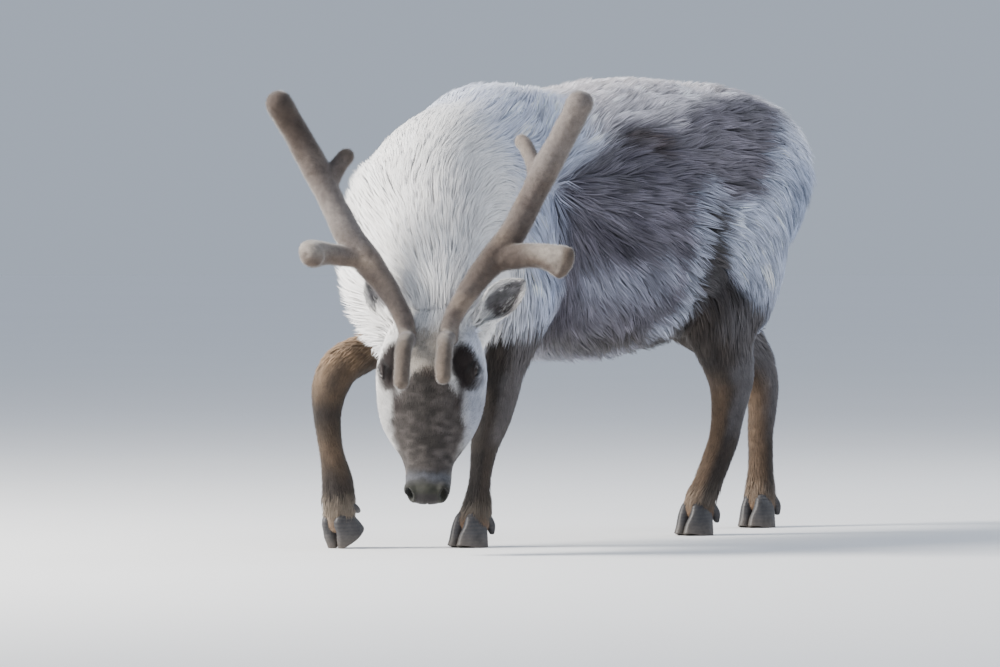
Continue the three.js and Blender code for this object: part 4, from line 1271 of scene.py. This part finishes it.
def velvet_tone(points, normals):
    h, n = to_head(points), normals @ HEAD_TURNED
    x, y = h[:, 0], h[:, 1]
    left = ease(-20, 20, x)
    reach = abs(x) + 14 * (1 - left)
    sideways = ease(160, 225, reach) * ease(250, 215, y)
    # Painted light: paler where the bez tines face up, and a painted highlight on the tops of the brow tines.
    top_light = ease(-0.5, 0.4, n[:, 1]) * ease(266, 246, reach)
    cap_highlight = 0.9 * peak((y - 56) / 15) * ease(0.2, 0.8, n[:, 2])
    dark = left * peak((y - 200) / 62) + (1 - left) * ease(370, 430, y)
    light = left * 0.4 * ease(330, 390, y) + (1 - left) * 0.6 * peak((y - 280) / 60)
    return lay(np.tile(tone(100, 91, 86), (len(points), 1)),
               (tone(134, 119, 105), 0.6 * ease(-0.2, 0.9, grain(points, 40, 61))),
               (tone(76, 66, 62), 0.6 * ease(0.1, 1.0, grain(points, 22, 62))),
               # Painted shade: browner and darker where the velvet faces down.
               (tone(80, 66, 55), 0.65 * ease(0.0, 0.9, -n[:, 1]) * ease(100, 180, y)),
               (tone(66, 56, 50), 0.75 * dark),
               (tone(150, 143, 138), 0.8 * light),
               (tone(92, 82, 72), 0.6 * ease(60, 30, y)),
               (tone(104, 92, 82), 0.7 * sideways * ease(244, 262, reach)),
               (tone(172, 164, 154), 0.55 * np.clip(cap_highlight + sideways * top_light, 0, 1)))


def antler(side):
    """One antler's whole horn under its pile, from the solids' beam and tines drawn in a little."""
    sign = 1 if side == "left" else -1
    brow = [[37, 50, 50, 17], [37, 40, 78, 16.5], [38, 14, 105, 16.5], [39, BROW_REACH[side], 118, 16]]
    beam, brow, bez, back = (rounded([[r[0] * sign, *r[1:]] for r in rows])
                             for rows in (BEAM, brow, TINES[side]["bez"], TINES[side]["back"]))
    beam[0][1:3] = [beam[0][1] - 14, beam[0][2] - 12]
    pieces = [
        tube(beam, sides=30, inset=2.6, to=from_head),
        tube(brow, sides=26, inset=1.6, to=from_head),
        tube(bez, side=FACE, sides=26, inset=2.6, to=from_head),
        tube(back, sides=26, inset=2.2, to=from_head),
    ]
    obj = mesh_object("antler_" + side + "_velvet", *joined(pieces))
    changed(obj, "REMESH", mode="VOXEL", voxel_size=HORN_VOXEL)
    changed(obj, "SMOOTH", factor=0.5, iterations=12)
    points, normals = points_of(obj), normals_of(obj)
    lumps = 1.3 * grain(points, 26, 51) + 0.6 * grain(points, 9, 52)
    set_points(obj, points + normals * lumps[:, None])
    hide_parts(*(f"antler_{side}_{part}" for part in
                       ("brow_tine", "bez_tine", "back_tine", "upper_beam", "lower_beam")))
    return obj


def fuzz(name, obj, rng):
    """The short soft pile on an antler."""
    hide = Hide(obj, haired=False)
    faces, weights = hide.sow(np.full(len(hide.points), PILE_DENSITY), rng)
    roots = hide.on_faces(hide.points, faces, weights)
    normals = unit(hide.on_faces(hide.normals, faces, weights))
    slack = unit(rng.normal(size=roots.shape))
    way = unit(normals * 0.75 + (slack - normals * dot(slack, normals)) * 0.5 + UP * 0.1)
    length = rng.uniform(2.0, 4.4, len(roots))
    paths = np.stack([roots - normals * 0.4, roots + way * length[:, None]], 1)
    h = to_head(roots)
    left, bottom, width, height = ATLAS[name.replace("_pile", "")]
    u = left + width * np.clip(h[:, 1] / 520, 0, 1)
    v = bottom + height * np.clip(0.5 + (h[:, 2] - 60) / 260, 0, 1)
    each = np.ones(len(roots))
    return tuft_mesh(name, paths, np.stack([normals] * 2, 1), 0.55 * each, 0.35 * each,
                     velvet_tone(roots, normals), np.stack([u, v], -1), rng.random(len(roots)), soft=0.85)


def eyeball(side):
    sign = 1 if side == "left" else -1
    axis = unit([sign * 0.84, -0.22, 0.42])
    points, faces = ball((0, 0, 0), (1, 1, 1), rings=40)
    away = np.degrees(np.arccos(np.clip(points @ axis, -1, 1)))
    radius = (EYE_RADIUS - 1.2) * (1 + 0.05 * ease(44, 0, away))
    obj = mesh_object("eyeball_" + side, from_head(points * radius[:, None] + eye_place(sign)), faces)
    fore = unit(np.array([0, -1.0, 0]) + axis * axis[1])
    lateral = points @ fore
    over = points @ np.cross(fore, axis)
    rays = 0.5 + 0.5 * np.sin(np.arctan2(over, lateral) * 60 + 3 * grain(points * 30, 4, 71))
    paint(obj, lay(np.tile(tone(22, 17, 16), (len(points), 1)),
                   (tone(44, 31, 24), ease(46, 40, away) * (0.5 + 0.4 * rays)),
                   (tone(6, 6, 9), ease(1.05, 0.8, np.hypot(lateral / 0.42, over / 0.17)))))
    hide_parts("eye_" + side)
    return obj


def grounded(points, faces, place):
    """Sets a foot's form in its place, flat where it meets the floor."""
    points = place(points)
    points[:, 2] = np.maximum(points[:, 2], FLOOR_FLAT)
    return points, faces


def claws(leg):
    """The four hooves of one foot: two main claws and two dewclaws."""
    place, sole = foot_place(leg), FEET[leg]["sole"]
    made = []
    for label, sign in (("left", 1), ("right", -1)):
        rows = [[13, 3, 15, 0.4, 0.36], [13.5, 2, 13, 0.62, 0.56], [14, 1, 8, 0.74, 0.68],
                [16, -2, -8, 0.86, 0.79], [17.5, -6, -0.6 * sole, 0.96, 0.92], [19, -10, -sole, 1, 1]]
        stations = [[sign * x, y, z, HOOF_HALF_WIDTH * half, HOOF_REACH * reach * 0.9,
                     HOOF_REACH * reach * 1.15] for x, y, z, half, reach in rows]
        points, faces = tube(stations, sides=44, steps=10, square=0.95, inset=0.3)
        toe = ease(0, 44, -points[:, 1])
        points[:, 0] -= sign * 7 * toe**2 * ease(10, -30, points[:, 2])
        rings = 0.3 * np.sin(points[:, 2] * 1.1 + 1.5 * grain(points, 16, 81))
        wear = 0.6 * grain(points * [1, 1, 0.4], 8, 82)
        out = unit((points - [sign * 17.0, -6, 0]) * [1, 1, 0])
        points = points + out * (rings + wear)[:, None]
        small = [[14.5, 21, 19, 6, 5, 5], [15, 22, 16, 10, 9, 9], [19, 32, -2, 11, 9, 9],
                 [20, 36, -18, 6, 5, 5], [20, 36.5, -21, 2.5, 2, 2]]
        dewclaw = tube([[sign * x, *rest] for x, *rest in small], sides=26, steps=8, inset=0.2)
        for kind, form in (("claw", (points, faces)), ("dewclaw", dewclaw)):
            obj = mesh_object(f"{leg}_{kind}_{label}_horn", *grounded(*form, place))
            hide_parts(f"{leg}_{kind}_{label}")
            made.append(obj)
    return made


# Materials.

def feed(tree, socket, value):
    """Links a socket to another, or sets it to a plain value."""
    if isinstance(value, bpy.types.NodeSocket):
        tree.links.new(value, socket)
    else:
        socket.default_value = value


def node(tree, kind, settings=None, **inputs):
    """A shader node with its settings and inputs; a space in an input's name is written as _."""
    made = tree.nodes.new("ShaderNode" + kind)
    for key, value in (settings or {}).items():
        setattr(made, key, value)
    for key, value in inputs.items():
        feed(tree, made.inputs[key.replace("_", " ")], value)
    return made


def sum_of(tree, how, a, b):
    made = node(tree, "Math", {"operation": how})
    feed(tree, made.inputs[0], a)
    feed(tree, made.inputs[1], b)
    return made.outputs[0]


def mixed(tree, how, factor, a, b):
    made = node(tree, "Mix", {"data_type": "RGBA", "blend_type": how, "clamp_factor": True})
    for slot, value in ((0, factor), (6, a), (7, b)):
        feed(tree, made.inputs[slot], value)
    return made.outputs[2]


def measured(tree, name, output="Fac"):
    return node(tree, "Attribute", {"attribute_name": name}).outputs[output]


def noise(tree, place, scale, fineness, rough=0.5):
    return node(tree, "TexNoise", Vector=place, Scale=scale, Detail=fineness, Roughness=rough).outputs["Fac"]


def mapped(tree, value, low=0.0, high=1.0, to_low=0.0, to_high=1.0, how="LINEAR"):
    """What lies between low and high, carried to between to_low and to_high."""
    return node(tree, "MapRange", {"interpolation_type": how}, Value=value, From_Min=low, From_Max=high,
                To_Min=to_low, To_Max=to_high).outputs[0]


def flecked(tree, value, low, high, contrast):
    """Light and dark about 1, by the contrast."""
    return mapped(tree, value, low, high, sum_of(tree, "SUBTRACT", 1.0, contrast),
                  sum_of(tree, "ADD", 1.0, contrast))


def bumped(tree, shader, strength, distance, height):
    bump = node(tree, "Bump", Strength=strength, Distance=distance, Height=height)
    tree.links.new(bump.outputs[0], shader["Normal"])


def group(name, inputs, outputs):
    tree = bpy.data.node_groups.new(name, "ShaderNodeTree")
    for label, kind, value in inputs:
        socket = tree.interface.new_socket(label, in_out="INPUT", socket_type="NodeSocket" + kind)
        socket.default_value = value
    for label, kind in outputs:
        tree.interface.new_socket(label, in_out="OUTPUT", socket_type="NodeSocket" + kind)
    return tree, tree.nodes.new("NodeGroupInput").outputs, tree.nodes.new("NodeGroupOutput").inputs


def use(tree, shared, **inputs):
    made = tree.nodes.new("ShaderNodeGroup")
    made.node_tree = shared
    for key, value in inputs.items():
        feed(tree, made.inputs[key.replace("_", " ")], value)
    return made.outputs


def strand_group():
    """Fine hairs along each tuft, darker at the root with painted shade, from the tuft's own measures."""
    tree, given, out = group("tuft_strands", [("Root Shade", "Float", 0.6), ("Contrast", "Float", 0.35),
                                              ("Tip Light", "Float", 1.1)], [("Light", "Float")])
    along = measured(tree, "along")
    place = node(tree, "CombineXYZ", X=sum_of(tree, "MULTIPLY", measured(tree, "aside"), 9.0),
                 Y=sum_of(tree, "MULTIPLY", along, 0.8),
                 Z=sum_of(tree, "MULTIPLY", measured(tree, "seed"), 91.0))
    hairs = noise(tree, place.outputs[0], 1.0, 2.0, 0.6)
    streak = flecked(tree, hairs, 0.3, 0.7, given["Contrast"])
    fade = mapped(tree, along, 0.0, 0.7, given["Root Shade"], given["Tip Light"], "SMOOTHSTEP")
    tree.links.new(sum_of(tree, "MULTIPLY", streak, fade), out["Light"])
    return tree


def nap_group():
    """Short hair drawn on a surface: light and dark flecks, and the height of its grain."""
    tree, given, out = group("short_nap", [("Scale", "Float", 300.0), ("Contrast", "Float", 0.3)],
                             [("Light", "Float"), ("Height", "Float")])
    spot = node(tree, "TexCoord").outputs["Object"]
    fine = noise(tree, spot, given["Scale"], 3.0, 0.65)
    broad = noise(tree, spot, sum_of(tree, "MULTIPLY", given["Scale"], 0.18), 2.0)
    both = sum_of(tree, "ADD", sum_of(tree, "MULTIPLY", fine, 0.6), sum_of(tree, "MULTIPLY", broad, 0.4))
    tree.links.new(flecked(tree, both, 0.35, 0.65, given["Contrast"]), out["Light"])
    tree.links.new(both, out["Height"])
    return tree


def pebble_group():
    """The fine leathery cells of bare nose skin, with painted shade in the creases between them."""
    tree, given, out = group("leather_cells", [("Scale", "Float", 500.0)],
                             [("Height", "Float"), ("Crease_Shade", "Float")])
    spot = node(tree, "TexCoord").outputs["Object"]
    cells = node(tree, "TexVoronoi", {"feature": "DISTANCE_TO_EDGE"}, Vector=spot,
                 Scale=given["Scale"]).outputs[0]
    tree.links.new(mapped(tree, cells, 0.0, 0.25), out["Height"])
    tree.links.new(mapped(tree, cells, 0.0, 0.12, 1.0, 0.0), out["Crease_Shade"])
    return tree


def start(name, **constants):
    """A material with its Principled shader, and constants set on the shader's own sockets."""
    material = bpy.data.materials.new(name)
    material.use_nodes = True
    tree = material.node_tree
    shader = tree.nodes["Principled BSDF"]
    for key, value in constants.items():
        shader.inputs[key.replace("_", " ")].default_value = value
    return material, tree, shader.inputs


def scaled(tree, colour, factor):
    grey = node(tree, "CombineColor", Red=factor, Green=factor, Blue=factor).outputs[0]
    return mixed(tree, "MULTIPLY", 1.0, colour, grey)


def tuft_material(name, strands, root_shade, contrast, tip_light, sheen=0.12):
    material, tree, shader = start(name, Roughness=0.72, Sheen_Weight=sheen, Sheen_Roughness=0.5,
                                   Specular_IOR_Level=0.25)
    light = use(tree, strands, Root_Shade=root_shade, Contrast=contrast, Tip_Light=tip_light)["Light"]
    tree.links.new(scaled(tree, measured(tree, "marking", "Color"), light), shader["Base Color"])
    return material


def skin_material(nap, pebbles):
    material, tree, shader = start("hide_skin", Sheen_Weight=0.1, Specular_IOR_Level=0.25)
    marks, bare = measured(tree, "marking", "Color"), measured(tree, "bare")
    hair = use(tree, nap, Scale=420.0, Contrast=0.35)
    leather = use(tree, pebbles, Scale=480.0)
    furred = scaled(tree, marks, sum_of(tree, "MULTIPLY", hair["Light"], 0.78))
    # Painted shade: darker in the creases of the bare skin.
    crease_shade = sum_of(tree, "MULTIPLY", leather["Crease_Shade"], 0.4)
    crease_shaded = scaled(tree, marks, sum_of(tree, "SUBTRACT", 1.0, crease_shade))
    tree.links.new(mixed(tree, "MIX", bare, furred, crease_shaded), shader["Base Color"])
    tree.links.new(mapped(tree, bare, to_low=0.85, to_high=0.5), shader["Roughness"])
    height = node(tree, "Mix", {"data_type": "FLOAT"})
    for slot, value in ((0, bare), (2, hair["Height"]), (3, leather["Height"])):
        feed(tree, height.inputs[slot], value)
    bumped(tree, shader, 0.5, 0.0012, height.outputs[0])
    return material


def velvet_material(nap):
    material, tree, shader = start("antler_velvet", Roughness=0.9, Sheen_Weight=0.5, Sheen_Roughness=0.35,
                                   Specular_IOR_Level=0.2)
    pile = use(tree, nap, Scale=650.0, Contrast=0.3)
    tree.links.new(scaled(tree, measured(tree, "marking", "Color"), pile["Light"]), shader["Base Color"])
    bumped(tree, shader, 0.6, 0.0012, pile["Height"])
    return material


def horn_material(nap):
    material, tree, shader = start("hoof_horn", Roughness=0.5, Specular_IOR_Level=0.4)
    spot = node(tree, "TexCoord").outputs["Object"]
    rings = node(tree, "TexWave", {"bands_direction": "Z"}, Vector=spot, Scale=46.0, Distortion=3.5,
                 Detail=3.0).outputs["Fac"]
    dust = use(tree, nap, Scale=90.0, Contrast=0.35)
    base = mixed(tree, "MIX", rings, (*tone(56, 55, 57), 1), (*tone(64, 62, 62), 1))
    low = mapped(tree, node(tree, "SeparateXYZ", Vector=spot).outputs["Z"], 0.0, 0.03, 0.6, 0.0)
    worn = mixed(tree, "MIX", low, base, (*tone(92, 84, 76), 1))
    tree.links.new(scaled(tree, worn, dust["Light"]), shader["Base Color"])
    tree.links.new(mapped(tree, dust["Height"], 0.3, 0.7, 0.4, 0.62), shader["Roughness"])
    bumped(tree, shader, 0.12, 0.0008, rings)
    return material


def eye_material():
    material, tree, shader = start("eye_glass", Roughness=0.3, Specular_IOR_Level=0.25, Coat_Weight=0.45,
                                   Coat_Roughness=0.05, Coat_IOR=1.3)
    tree.links.new(measured(tree, "marking", "Color"), shader["Base Color"])
    return material


def floor_material():
    material, tree, shader = start("pale_floor", Roughness=0.9)
    spot = node(tree, "TexCoord").outputs["Object"]
    tint = mixed(tree, "MIX", noise(tree, spot, 1.2, 2.0), (0.87, 0.87, 0.865, 1), (0.9, 0.9, 0.895, 1))
    tree.links.new(tint, shader["Base Color"])
    return material


def finish(obj, material, slot):
    obj.data.materials.clear()
    obj.data.materials.append(material)
    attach(obj, "root")


# The camera, floor and light.

def aim(obj, place, target):
    obj.location = place
    obj.rotation_euler = (Vector(target) - Vector(place)).to_track_quat("-Z", "Y").to_euler()


def set_camera():
    """Looks at the middle of the animal from its left front, from nearly its own height."""
    az, el = math.radians(39), math.radians(1.3)
    target = in_row([23.5, 0, 403])
    back = np.array([math.sin(az) * math.cos(el), -math.cos(az) * math.cos(el), math.sin(el)])
    data = bpy.data.cameras.new("camera")
    data.sensor_width = SENSOR_WIDTH
    data.lens = SENSOR_WIDTH * CAMERA_AWAY / VIEW_WIDTH
    data.clip_end = 100
    camera = added("camera", data)
    aim(camera, target + back * CAMERA_AWAY, target)
    bpy.context.scene.camera = camera


def set_light():
    world = bpy.data.worlds.new("studio")
    world.use_nodes = True
    tree = world.node_tree
    spot = node(tree, "TexCoord").outputs["Generated"]
    rise = node(tree, "SeparateXYZ", Vector=spot).outputs["Z"]
    height = mapped(tree, rise, 0.02, 0.4, how="SMOOTHSTEP")
    background = tree.nodes["Background"].inputs
    tree.links.new(mixed(tree, "MIX", height, (0.64, 0.73, 0.875, 1), (0.72, 0.82, 1.0, 1)), background[0])
    background[1].default_value = 0.66
    bpy.context.scene.world = world
    for name, place, size, energy, colour in (
        ("key", (-3.0, -4.0, 3.4), 1.8, 930, (1.0, 0.965, 0.91)),
        ("fill", (4.5, -2.0, 2.4), 4.0, 30, (0.8, 0.88, 1.0)),
        ("back", (1.0, 4.2, 3.2), 3.0, 110, (0.92, 0.95, 1.0)),
    ):
        data = bpy.data.lights.new(name, "AREA")
        data.size, data.energy, data.color = size, energy, colour
        aim(added(name, data), place, (0, 0, 0.45))


def set_floor():
    angle = np.arange(96) / 96 * 2 * np.pi
    ring = np.stack([np.cos(angle), np.sin(angle), 0 * angle], -1)
    rings = np.concatenate([ring * r for r in (500, 2500, 9000, 30000)])
    floor = mesh_object("floor", rings - SHIFT, bands(4, 96, flip=True) + [tuple(range(96))])
    floor.data.materials.append(floor_material())


# The animal.

set_camera()
set_light()
set_floor()

strands, nap, pebbles = strand_group(), nap_group(), pebble_group()
skin = build_skin()
hide = Hide(skin)
paint(skin, hide.colour)
measure(skin, hide.bare, "bare")
finish(skin, skin_material(nap, pebbles), "grey_coat")
FLESH = ["head", "neck", "shoulders", "barrel", "hindquarters", "tail", "ear_left", "ear_right"]
FLESH += [f"{leg}_{part}" for leg in LEGS for part in ("upper", "cannon", "foot")]
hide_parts(*FLESH)

coats = {
    "white": (tuft_material("white_tufts", strands, 0.93, 0.08, 1.08, sheen=0.25), "white_coat"),
    "grey": (tuft_material("grey_tufts", strands, 0.72, 0.22, 1.12), "grey_coat"),
    "legs": (tuft_material("leg_tufts", strands, 0.8, 0.22, 1.08), "leg_coat"),
    "face": (tuft_material("face_tufts", strands, 0.85, 0.2, 1.06), "face_coat"),
}
kinds = {"head": "face", "poll": "face", "leg": "legs", "thigh": "legs", "neck": "white", "shoulder": "white",
         "flank": "grey", "rump": "grey"}
for name, piece in grow_coat(hide).items():
    finish(piece, *coats[kinds[name.split("_")[0]]])

velvet, pile = velvet_material(nap), tuft_material("velvet_pile", strands, 0.85, 0.15, 1.25, sheen=0.4)
rng = np.random.default_rng(PILE_SEED)
for side in ("left", "right"):
    horn = antler(side)
    paint(horn, velvet_tone(points_of(horn), normals_of(horn)))
    finish(horn, velvet, "velvet")
    finish(fuzz(f"antler_{side}_pile", horn, rng), pile, "velvet")
eye = eye_material()
for side in ("left", "right"):
    finish(eyeball(side), eye, "eye")
hoof = horn_material(nap)
for leg in LEGS:
    for claw in claws(leg):
        finish(claw, hoof, "hoof_horn")
